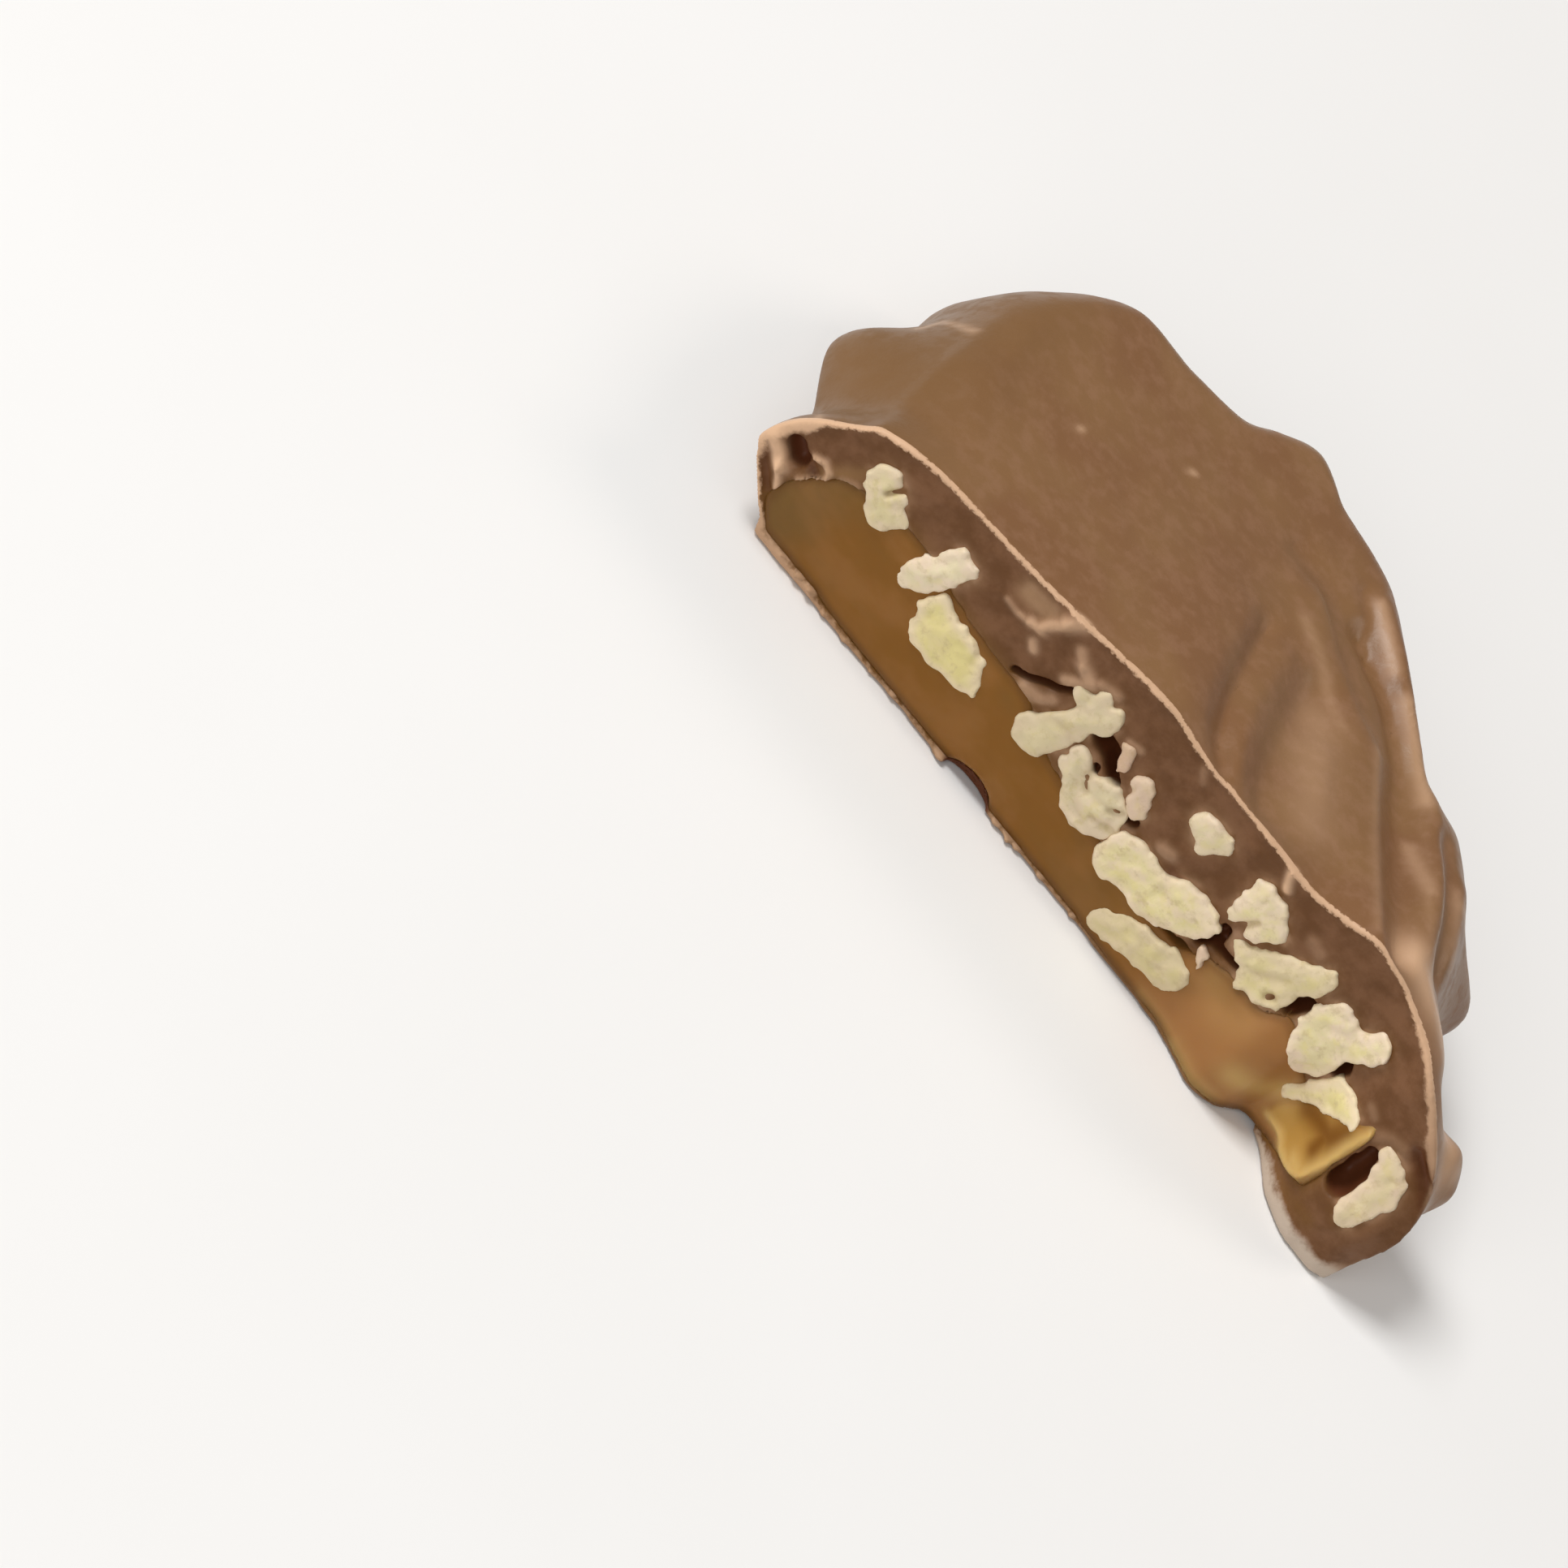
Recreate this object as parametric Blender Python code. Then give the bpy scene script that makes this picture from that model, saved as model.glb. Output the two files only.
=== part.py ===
"""Half of a pecan, caramel and chocolate patty, cut across.

The patty lies on its flat foot. X runs along the cut, Y runs from the cut into the food, and Z is up.
Sizes are in millimetres. The meshes are made in metres.
"""

import math
from dataclasses import dataclass

import bmesh
import bpy
import numpy as np

MM = 0.001

# Driving dimensions, in millimetres and degrees
WIDEST_HEIGHT = 5.6
BACK_HEIGHT = 15.2
BACK_DISTANCE = 28.0
FLOOR_SKIN = 0.8
GAP = 0.3
HEADROOM = 0.5
CARAMEL_FLOOR_TAPER = 1.5
CARAMEL_DEPTH_HEIGHT = 6.5
CARAMEL_ROUNDING = 1.2
CARAMEL_LEAST_INSET = 0.6
CARAMEL_FLANK_SHARE = 0.3
CARAMEL_FLANK_HEIGHT = 1.4
CARAMEL_SHOULDER = (1.2, 0.5)
RIM_STEP = 3.0
CARAMEL_STEP = 6.0
SHOULDER_RINGS = 5
TOP_RINGS = 11
CARAMEL_TOP_RINGS = 6
PIECE_POINTS = 16
PIECE_RINGS = 3
FRONT_REACH = 60.0

# The knife's own grid: the places in X, closer together at the broken end, and the heights
KNIFE_COLUMNS = (-45.0, 0.0, 10.0, *(13.0 + 1.5 * step for step in range(17)), 45.0)
KNIFE_HEIGHTS = (-4.0, 0.0, 2.0, 3.5, 5.5, 7.5, 9.5, 11.0, 24.0)

# Where the middle of the finished half's box lies in the frame that the sizes below are given in
BOX_MIDDLE = (0.073, 17.187)

# Radius of the rim's widest line without its knobs, by the angle from +X towards the back
RIM = (
    (-45, 34.0), (-20, 34.0), (-8, 34.6), (0, 33.4), (5, 31.2), (10, 28.8), (16, 27.8), (23, 28.7),
    (37, 29.8), (47, 30.2), (56, 28.6), (64, 29.6), (71, 31.0), (78, 33.1), (85, 35.2), (95, 36.2),
    (101, 38.5), (106, 37.3), (112, 35.8), (120, 37.0), (128, 39.8), (137, 39.0), (144, 37.9),
    (150, 36.1), (158, 34.5), (166, 32.8), (171, 31.9), (180, 33.2), (200, 33.5), (315, 34.0),
)
# How far the shoulder rounds over from the rim to the top, by angle
SHOULDER = (
    (-45, 9.0), (20, 9.0), (45, 8.0), (80, 5.5), (100, 4.2), (128, 4.4), (150, 6.2), (180, 10.0), (315, 10.0),
)
# How far the foot lies inside the rim, by angle
FOOT_INSET = ((-45, 0.8), (0, 0.8), (12, 1.6), (30, 3.0), (90, 4.0), (180, 4.8), (315, 0.8))
# The underside from the foot to the widest line: shares of its height and of the foot's inset
UNDERSIDE = ((0.0, 1.0), (0.2, 0.9), (0.45, 0.58), (0.72, 0.24))
# How far the caramel's widest line lies inside the rim, by angle
CARAMEL_INSET = ((-45, 7.0), (5, 6.8), (25, 4.5), (60, 3.0), (150, 2.6), (180, 3.6), (315, 7.0))
# Height of the top along the cut
TOP_LINE = (
    (-36, 13.6), (-30.5, 14.0), (-29.5, 14.4), (-28.7, 15.0), (-27.5, 14.9), (-26, 14.9), (-22, 15.2),
    (-16, 15.7), (-10, 16.5), (-3, 17.4), (1, 16.9), (7, 17.0), (12, 16.7), (15, 17.3), (18, 18.2),
    (20, 17.9), (22, 17.3), (26, 16.2), (30, 14.9), (36, 14.0),
)
# Height of the caramel along the cut
CARAMEL_LINE = (
    (-36, 6.4), (-30, 7.0), (-27.4, 8.8), (-24, 9.5), (-22, 10.0), (-20, 10.0), (-17, 9.2), (-12, 8.8),
    (-9, 8.5), (-7, 6.0), (2, 5.6), (10, 5.2), (12, 6.6), (14, 7.2), (16.6, 7.6), (18.4, 8.8),
    (19.6, 8.2), (22, 7.2), (26, 7.0), (36, 7.0),
)
# Where the cut face stands in Y, low down and high up: the right end broke off in front of the knife
LOW_CUT = (
    (-45, 0.0), (4, 0.0), (8, -0.3), (13, -0.4), (16, -1.3), (18, -1.9), (20, -1.4), (22.3, 0.6),
    (24, 0.0), (27, -3.0), (30, -4.3), (32, -4.4), (34, -3.6), (45, -2.6),
)
HIGH_CUT = ((-45, 0.0), (21, 0.0), (24, -0.6), (27, -2.0), (30, -2.6), (45, -2.6))
LOW_CUT_HEIGHT = 3.5
HIGH_CUT_HEIGHT = 11.0


@dataclass(frozen=True)
class Ridge:
    """A long ripple in the top along a path from back to front, or a groove where its height is negative."""

    path: tuple[tuple[float, float], ...]
    height: float
    west: float
    east: float


RIDGES = (
    Ridge(((-3.6, 13.9), (-2.2, 3.8), (-0.8, 1.0)), 0.3, 3.6, 1.6),
    Ridge(((-1.5, 16.0), (-0.2, 6.3), (2.7, 0.0)), -0.4, 1.2, 0.8),
    Ridge(((4.0, 15.4), (4.3, 9.7), (6.2, 1.6)), -0.7, 1.8, 2.8),
    Ridge(((-0.2, 22.5), (6.2, 17.2), (9.4, 15.8), (12.1, 10.4), (16.6, 0.8)), 0.6, 3.0, 1.4),
    Ridge(((4.0, 25.0), (8.6, 22.4), (14.4, 13.4), (19.2, 1.6)), -0.9, 1.8, 1.6),
    Ridge(((3.3, 28.6), (12.0, 21.2), (18.0, 10.8), (20.6, 5.2)), 0.5, 1.6, 1.8),
    Ridge(((17.0, 15.6), (22.2, 6.4)), -0.4, 1.6, 1.6),
    Ridge(((20.2, 14.4), (24.6, 4.6)), 0.45, 1.6, 1.8),
    Ridge(((28.6, -1.0), (30.6, 8.0)), -2.4, 2.2, 1.6),
    Ridge(((32.4, 0.0), (33.2, 6.0)), 2.0, 1.3, 1.3),
)
# Depths behind the cut between which the ripples grow to their full height
BARE_CUT = (-1.0, 2.6)


@dataclass(frozen=True)
class Knob:
    """A rounded knob on the rim, over a nut underneath: where it sits, and how far it stands out."""

    angle: float
    height: float
    reach: float
    spread: float
    tall: float


KNOBS = (
    Knob(4.8, 8.8, 3.6, 2.6, 3.6),
    Knob(31.0, 7.5, 3.3, 2.8, 4.2),
    Knob(47.0, 8.0, 0.6, 2.6, 4.0),
    Knob(101.0, 9.0, 1.6, 2.6, 5.0),
    Knob(86.0, 5.0, 1.0, 3.0, 4.0),
    Knob(118.0, 4.5, 1.2, 3.4, 3.4),
    Knob(141.0, 5.5, 1.0, 3.2, 3.6),
    Knob(160.0, 6.0, 2.6, 4.0, 4.4),
)


@dataclass(frozen=True)
class Lobe:
    """One rounded lobe of a piece as it shows on the cut: its middle, half sizes and tilt."""

    x: float
    z: float
    along: float
    across: float
    tilt: float = 0.0


@dataclass(frozen=True)
class Piece:
    """A nut piece, or a pit, met by the cut: its lobes and how deep it goes into the food."""

    name: str
    lobes: tuple[Lobe, ...]
    depth: float
    front: float = 0.0


PECANS = (
    Piece("pecan_01", (Lobe(-25.9, 10.6, 1.7, 1.1, 80), Lobe(-24.2, 9.8, 1.6, 1.2, -70)), 2.6),
    Piece("pecan_02", (Lobe(-20.0, 8.6, 1.7, 1.2, 40), Lobe(-18.4, 10.9, 1.9, 1.2, 70)), 2.8),
    Piece("pecan_03", (Lobe(-16.3, 7.1, 1.9, 1.7, 0), Lobe(-13.3, 6.4, 2.1, 1.7, -15)), 3.6),
    Piece("pecan_04", (Lobe(-6.5, 7.7, 1.7, 1.2, 75), Lobe(-5.5, 11.4, 2.4, 1.1, 78)), 2.4),
    Piece("pecan_05", (Lobe(-2.9, 7.6, 1.9, 1.1, -55), Lobe(-0.3, 7.5, 1.7, 2.1, 10)), 3.2),
    Piece("pecan_06", (Lobe(0.8, 11.0, 1.5, 0.8, -56),), 1.8),
    Piece("pecan_07", (Lobe(5.4, 13.1, 1.7, 1.35, -15),), 2.0),
    Piece("pecan_08", (Lobe(3.9, 6.6, 1.9, 1.7, 0), Lobe(7.6, 7.6, 2.6, 1.9, 5)), 3.8),
    Piece("pecan_09", (Lobe(7.4, 2.7, 2.1, 1.2, 25), Lobe(10.6, 3.4, 2.0, 1.35, 15)), 3.4),
    Piece("pecan_10", (Lobe(10.6, 12.7, 1.9, 0.95, 78), Lobe(12.7, 12.6, 1.7, 0.95, 115)), 2.4),
    Piece("pecan_11", (Lobe(14.6, 9.4, 1.9, 1.4, 10), Lobe(16.5, 11.6, 2.6, 1.3, 65)), 3.2),
    Piece("pecan_12", (Lobe(20.7, 9.4, 2.6, 1.7, 85), Lobe(22.7, 12.0, 1.7, 1.0, 70)), 3.6, -0.4),
    Piece("pecan_13", (Lobe(24.3, 7.0, 2.1, 1.2, -20),), 2.2, -0.7),
    Piece("pecan_14", (Lobe(29.5, 10.0, 1.5, 0.9, -45), Lobe(30.7, 6.9, 2.8, 1.0, 87)), 2.6, -3.4),
)
PITS = (
    Piece("crack_left", (Lobe(-9.3, 11.0, 2.0, 0.3, 40),), 1.2),
    Piece("crack_middle", (Lobe(-2.7, 11.0, 1.7, 0.6, -34),), 1.6),
    Piece("crack_cross", (Lobe(11.6, 8.2, 1.3, 0.45, 70), Lobe(11.0, 6.4, 1.4, 0.5, 80)), 2.2),
    Piece("crack_right", (Lobe(18.0, 9.9, 1.0, 0.6, 80),), 1.8),
    Piece("hole_right", (Lobe(28.4, 7.0, 2.7, 1.0, 100),), 4.5, -3.4),
    Piece("pocket_left", (Lobe(-30.6, 8.0, 1.0, 0.6, 65),), 1.6),
    Piece("chip_below", (Lobe(-6.5, 0.1, 2.0, 1.0, 0),), 1.4),
)
PIT_FRONT = 8.0
FRONT_STAGGER = 0.15
SOCKET_SINK = 0.15
PEAK = (0.3, 0.5)
FIRST_ANGLE = -41.5
LOBE_BLEND = 0.35
SEARCH_REACH = 9.0
SEARCH_HALVINGS = 24


def through(knots, at):
    """Read a smooth curve, which never overshoots, through (position, amount) knots."""
    places, amounts = np.array(knots, dtype=float).T
    steps = np.diff(amounts) / np.diff(places)
    before, after = steps[:-1], steps[1:]
    rising = before * after > 0
    inner = np.where(rising, 2 * before * after / np.where(rising, before + after, 1.0), 0.0)
    slopes = np.concatenate([[steps[0]], inner, [steps[-1]]])
    index = np.clip(np.searchsorted(places, at) - 1, 0, len(places) - 2)
    span = places[index + 1] - places[index]
    part = np.clip((at - places[index]) / span, 0.0, 1.0)
    start = (1 + 2 * part) * (1 - part) ** 2 * amounts[index]
    start += part * (1 - part) ** 2 * span * slopes[index]
    end = part**2 * (3 - 2 * part) * amounts[index + 1]
    end += part**2 * (part - 1) * span * slopes[index + 1]
    return start + end


def smooth_step(low, high, value):
    """Rise from 0 at low to 1 at high."""
    part = np.clip((value - low) / (high - low), 0.0, 1.0)
    return part * part * (3 - 2 * part)


def ridge_height(ridge, x, y):
    """Height of one ripple over the points of the top, with its own width on the west and the east."""
    best = np.full(np.shape(x), np.inf)
    width = np.full(np.shape(x), ridge.west)
    for start, end in zip(ridge.path, ridge.path[1:]):
        run = np.subtract(end, start)
        offset_x = x - start[0]
        offset_y = y - start[1]
        part = np.clip((offset_x * run[0] + offset_y * run[1]) / (run @ run), 0.0, 1.0)
        away = np.hypot(offset_x - part * run[0], offset_y - part * run[1])
        eastward = offset_y * run[0] > offset_x * run[1]
        width = np.where(away < best, np.where(eastward, ridge.east, ridge.west), width)
        best = np.minimum(best, away)
    return ridge.height * np.exp(-((best / width) ** 2))


def top_height(x, y):
    """Height of the patty's top."""
    share = smooth_step(0.0, BACK_DISTANCE, y)
    height = through(TOP_LINE, x) * (1 - share) + BACK_HEIGHT * share
    ripples = sum(ridge_height(ridge, x, y) for ridge in RIDGES)
    return height + ripples * smooth_step(*BARE_CUT, y)


def caramel_height(x, y):
    """Height of the caramel layer's top."""
    share = smooth_step(0.0, BACK_DISTANCE, y)
    return through(CARAMEL_LINE, x) * (1 - share) + CARAMEL_DEPTH_HEIGHT * share


def cut_place(x, z):
    """Where the cut face stands in Y."""
    share = smooth_step(LOW_CUT_HEIGHT, HIGH_CUT_HEIGHT, z)
    return through(LOW_CUT, x) * (1 - share) + through(HIGH_CUT, x) * share


def knob_reach(angles, radius, z):
    """How far the rim's knobs push a point out, which fades inward from the rim."""
    total = np.zeros(len(angles))
    for knob in KNOBS:
        along = radius * (angles - math.radians(knob.angle))
        total += knob.reach * np.exp(-((along / knob.spread) ** 2) - ((z - knob.height) / knob.tall) ** 2)
    return total


def ring(angles, radius, height, knobbed=0.0):
    """Points of one ring, with the height read from a function where it isn't a number."""
    x = radius * np.cos(angles)
    y = radius * np.sin(angles)
    z = np.broadcast_to(height(x, y) if callable(height) else height, x.shape)
    pushed = radius + knobbed * knob_reach(angles, radius, z)
    return np.stack([pushed * np.cos(angles), pushed * np.sin(angles), z], axis=1)


def add_object(name, bm, collection):
    """Turn a bmesh in millimetres into an object in metres."""
    middle = np.array([*BOX_MIDDLE, 0.0])
    for vert in bm.verts:
        vert.co = [(place - shift) * MM for place, shift in zip(vert.co, middle)]
    bmesh.ops.recalc_face_normals(bm, faces=bm.faces)
    mesh = bpy.data.meshes.new(name)
    bm.to_mesh(mesh)
    bm.free()
    made = bpy.data.objects.new(name, mesh)
    collection.objects.link(made)
    return made


def loft(name, rings, collection, peak=None):
    """Skin a stack of rings, with a flat cap at the start and a peak or a flat cap at the end."""
    bm = bmesh.new()
    rows = [[bm.verts.new(point) for point in points] for points in rings]
    count = len(rows[0])
    for low, high in zip(rows, rows[1:]):
        for here in range(count):
            following = (here + 1) % count
            bm.faces.new((low[here], low[following], high[following], high[here]))
    bm.faces.new(rows[0])
    if peak is None:
        bm.faces.new(rows[-1])
    else:
        tip = bm.verts.new(peak)
        for here in range(count):
            bm.faces.new((rows[-1][here], rows[-1][(here + 1) % count], tip))
    return add_object(name, bm, collection)


def body(collection):
    """The whole patty's outer form, before the cut."""
    degrees = FIRST_ANGLE + np.arange(0.0, 360.0, RIM_STEP)
    angles = np.radians(degrees)
    rim = through(RIM, degrees)
    shoulder = through(SHOULDER, degrees)
    foot = through(FOOT_INSET, degrees)
    rings = []
    for rise, inset in UNDERSIDE:
        rings.append(ring(angles, rim - foot * inset, WIDEST_HEIGHT * rise, 1 - inset))
    for turn in np.linspace(0.0, math.pi / 2, SHOULDER_RINGS + 1):
        rise = math.sin(turn)
        radius = rim - shoulder * (1 - math.cos(turn))

        def height(x, y, rise=rise):
            return WIDEST_HEIGHT + (top_height(x, y) - WIDEST_HEIGHT) * rise

        rings.append(ring(angles, radius, height, math.cos(turn)))
    for share in np.linspace(1.0, 0.0, TOP_RINGS + 1)[1:-1]:
        rings.append(ring(angles, (rim - shoulder) * share, top_height))
    return loft("chocolate_coat", rings, collection, (*PEAK, float(top_height(*PEAK))))


def caramel_layer(name, grow, collection):
    """The caramel layer's form before the cut, grown by an amount for the pocket that holds it."""
    degrees = FIRST_ANGLE + np.arange(0.0, 360.0, CARAMEL_STEP)
    angles = np.radians(degrees)
    widest = through(RIM, degrees) - through(CARAMEL_INSET, degrees) + grow
    foot = widest - np.maximum(through(FOOT_INSET, degrees) - CARAMEL_FLOOR_TAPER, CARAMEL_LEAST_INSET)
    flank = foot + (widest - foot) * CARAMEL_FLANK_SHARE
    low, high = CARAMEL_SHOULDER
    floor = FLOOR_SKIN + GAP - grow
    headroom = HEADROOM if grow else 0.0

    def layer_top(x, y):
        return caramel_height(x, y) + headroom

    rings = [
        ring(angles, foot, floor),
        ring(angles, flank, floor + CARAMEL_FLANK_HEIGHT),
        ring(angles, widest, lambda x, y: np.minimum(WIDEST_HEIGHT, layer_top(x, y)) - low),
        ring(angles, widest - CARAMEL_ROUNDING * CARAMEL_FLANK_SHARE, lambda x, y: layer_top(x, y) - high),
        ring(angles, widest - CARAMEL_ROUNDING, layer_top),
    ]
    for share in np.linspace(1.0, 0.0, CARAMEL_TOP_RINGS + 1)[1:-1]:
        rings.append(ring(angles, (widest - CARAMEL_ROUNDING) * share, layer_top))
    return loft(name, rings, collection, (*PEAK, float(layer_top(*PEAK))))


def lobe_reach(piece, turns, grow):
    """How far a piece's outline lies from its hub, in each direction on the cut."""
    hub_x, hub_z = piece_hub(piece)
    near = np.zeros(len(turns))
    far = np.full(len(turns), SEARCH_REACH)
    for _ in range(SEARCH_HALVINGS):
        middle = (near + far) / 2
        x = hub_x + middle * np.cos(turns)
        z = hub_z + middle * np.sin(turns)
        inside = piece_field(piece, x, z) < grow
        near = np.where(inside, middle, near)
        far = np.where(inside, far, middle)
    return near


def piece_hub(piece):
    """The middle of a piece's lobes."""
    return np.mean([lobe.x for lobe in piece.lobes]), np.mean([lobe.z for lobe in piece.lobes])


def piece_field(piece, x, z):
    """Distance to a piece's outline, below 0 inside, with its lobes run together softly."""
    total = 0.0
    for lobe in piece.lobes:
        tilt = math.radians(lobe.tilt)
        along = (x - lobe.x) * math.cos(tilt) + (z - lobe.z) * math.sin(tilt)
        across = (z - lobe.z) * math.cos(tilt) - (x - lobe.x) * math.sin(tilt)
        away = (np.hypot(along / lobe.along, across / lobe.across) - 1) * min(lobe.along, lobe.across)
        total = total + np.exp(-away / LOBE_BLEND)
    return -LOBE_BLEND * np.log(total)


def piece_form(name, piece, grow, front, collection):
    """A piece's flat face on the cut, or its straight way out to the front, and its dome behind."""
    turns = np.linspace(0.0, 2 * math.pi, PIECE_POINTS, endpoint=False)
    reach = lobe_reach(piece, turns, grow)
    hub_x, hub_z = piece_hub(piece)
    depth = piece.depth + grow
    start = piece.front + (SOCKET_SINK if front else 0.0)
    levels = [(1.0, piece.front - front)] if front else []
    for turn in np.linspace(0.0, math.pi / 2, PIECE_RINGS + 1)[:-1]:
        levels.append((math.cos(turn), start + depth * math.sin(turn)))
    rings = []
    for share, y in levels:
        x = hub_x + reach * share * np.cos(turns)
        z = hub_z + reach * share * np.sin(turns)
        rings.append(np.stack([x, np.full(len(turns), y), z], axis=1))
    return loft(name, rings, collection, (hub_x, start + depth, hub_z))


def knife(collection):
    """Everything in front of the cut face."""
    x, z = np.meshgrid(KNIFE_COLUMNS, KNIFE_HEIGHTS)
    bm = bmesh.new()
    grid = [
        [bm.verts.new((a, float(cut_place(np.array(a), np.array(b))), b)) for a, b in zip(*row)]
        for row in zip(x, z)
    ]
    for low, high in zip(grid, grid[1:]):
        for here in range(len(KNIFE_COLUMNS) - 1):
            bm.faces.new((low[here], low[here + 1], high[here + 1], high[here]))
    moved = bmesh.ops.extrude_face_region(bm, geom=list(bm.faces))
    for vert in moved["geom"]:
        if isinstance(vert, bmesh.types.BMVert):
            vert.co.y = -FRONT_REACH
    return add_object("knife", bm, collection)


def material(name, colour, roughness):
    """A plain material of one colour."""
    made = bpy.data.materials.new(name)
    made.use_nodes = True
    shader = made.node_tree.nodes["Principled BSDF"]
    shader.inputs["Base Color"].default_value = (*colour, 1.0)
    shader.inputs["Roughness"].default_value = roughness
    shader.inputs["Metallic"].default_value = 0.0
    return made


def subtract(target, cutters, solver="EXACT"):
    """Cut a collection of cutters out of an object."""
    cut = target.modifiers.new(cutters.name, "BOOLEAN")
    cut.operation = "DIFFERENCE"
    cut.solver = solver
    cut.operand_type = "COLLECTION"
    cut.collection = cutters


def new_collection(name):
    """A collection under the scene's own."""
    made = bpy.data.collections.new(name)
    bpy.context.scene.collection.children.link(made)
    return made


def main():
    """Build the coat, the caramel and the nut pieces."""
    for old in list(bpy.data.objects):
        bpy.data.objects.remove(old)
    parts = new_collection("parts")
    sockets = new_collection("sockets")
    pocket = new_collection("pocket")
    cut = new_collection("cut")

    chocolate = material("chocolate", (0.26, 0.14, 0.08), 0.45)
    caramel = material("caramel", (0.36, 0.17, 0.04), 0.25)
    pecan = material("pecan", (0.72, 0.58, 0.36), 0.6)

    coat = body(parts)
    coat.data.materials.append(chocolate)
    layer = caramel_layer("caramel", 0.0, parts)
    layer.data.materials.append(caramel)
    caramel_layer("caramel_pocket", GAP, pocket)
    knife(cut)
    for piece in PECANS:
        piece_form(piece.name, piece, 0.0, 0.0, parts).data.materials.append(pecan)
    hollows = [(piece, GAP) for piece in PECANS] + [(pit, 0.0) for pit in PITS]
    for step, (piece, grow) in enumerate(hollows):
        piece_form(piece.name + "_socket", piece, grow, PIT_FRONT + step * FRONT_STAGGER, sockets)

    subtract(coat, cut)
    subtract(coat, pocket)
    subtract(coat, sockets, "MANIFOLD")
    subtract(layer, cut)
    subtract(layer, sockets, "MANIFOLD")
    for made in parts.objects:
        made.data.shade_smooth()
    for cutters in (sockets, pocket, cut):
        for cutter in cutters.objects:
            cutter.hide_render = True
            cutter.display_type = "WIRE"


main()
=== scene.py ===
"""Half of a pecan, caramel and chocolate patty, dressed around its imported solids.

The half lies on its flat foot. X runs along the cut, Y from the cut into the food, and Z up. Every form is
worked out in millimetres around the middle of the cut's foot, and ``Skin.add`` turns it into metres in the
part's own frame. What shows on the cut is drawn as the camera sees it, against the plane Y = 0.
"""

import logging
import math
from dataclasses import dataclass, field
from enum import Enum
from typing import Any, Sequence

import bpy
import numpy as np
from mathutils import Matrix


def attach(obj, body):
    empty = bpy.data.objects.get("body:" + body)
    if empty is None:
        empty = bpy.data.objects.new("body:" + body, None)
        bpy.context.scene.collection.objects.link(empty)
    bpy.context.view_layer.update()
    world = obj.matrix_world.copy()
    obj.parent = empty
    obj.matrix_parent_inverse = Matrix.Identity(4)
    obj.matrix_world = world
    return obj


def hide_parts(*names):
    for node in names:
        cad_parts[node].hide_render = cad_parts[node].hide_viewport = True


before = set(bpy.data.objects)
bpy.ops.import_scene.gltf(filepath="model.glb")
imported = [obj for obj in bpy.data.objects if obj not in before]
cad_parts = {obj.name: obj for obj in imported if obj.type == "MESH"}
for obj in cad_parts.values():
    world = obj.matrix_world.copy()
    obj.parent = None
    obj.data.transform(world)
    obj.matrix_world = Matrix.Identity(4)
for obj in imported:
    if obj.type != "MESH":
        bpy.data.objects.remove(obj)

MM = 0.001
# Where the middle of the solids' box lies, along X and Y
BOX_MIDDLE = (0.073, 17.187)
# A length too small to divide by, and a distance that counts as far away, in millimetres
TINY = 1e-9
FAR = 9.0
LOG = logging.getLogger("patty")

Array = np.ndarray
Knots = Sequence[tuple[float, float]]
Place = tuple[float, float]


class Slot(Enum):
    """The record's material slots."""

    CHOCOLATE = "chocolate"
    CARAMEL = "caramel"
    PECAN = "pecan"


def through(knots: Knots, at: Array) -> Array:
    """Read a smooth curve, which never overshoots, through knots.

    Args:
        knots: (position, amount) pairs in rising order of position.
        at: Positions to read.

    Returns:
        The amounts there.
    """
    places, amounts = np.array(knots, dtype=float).T
    steps = np.diff(amounts) / np.diff(places)
    before, after = steps[:-1], steps[1:]
    rising = before * after > 0
    inner = np.where(rising, 2 * before * after / np.where(rising, before + after, 1.0), 0.0)
    slopes = np.concatenate([[steps[0]], inner, [steps[-1]]])
    index = np.clip(np.searchsorted(places, at) - 1, 0, len(places) - 2)
    span = places[index + 1] - places[index]
    part = np.clip((at - places[index]) / span, 0.0, 1.0)
    start = (1 + 2 * part) * (1 - part) ** 2 * amounts[index]
    start += part * (1 - part) ** 2 * span * slopes[index]
    end = part**2 * (3 - 2 * part) * amounts[index + 1]
    end += part**2 * (part - 1) * span * slopes[index + 1]
    return start + end


def smooth_step(low: float, high: float, value: Array) -> Array:
    """Rise smoothly from 0, where the value is low, to 1, where it is high."""
    part = np.clip((value - low) / (high - low), 0.0, 1.0)
    return part * part * (3 - 2 * part)


def bell(away: Array, width: float | Array) -> Array:
    """Fall from 1, at no distance, along a bell curve of a width in millimetres."""
    return np.exp(-((away / width) ** 2))


def meet(first: Array, second: Array, softness: float) -> Array:
    """Intersect two distance fields, below 0 inside, with the edge rounded over softness in millimetres."""
    near = np.clip(0.5 + 0.5 * (first - second) / softness, 0.0, 1.0)
    return second + (first - second) * near + softness * near * (1 - near)


def join(first: Array, second: Array, softness: float) -> Array:
    """Unite two distance fields with the corner filled over softness in millimetres."""
    return -meet(-first, -second, softness)


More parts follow.
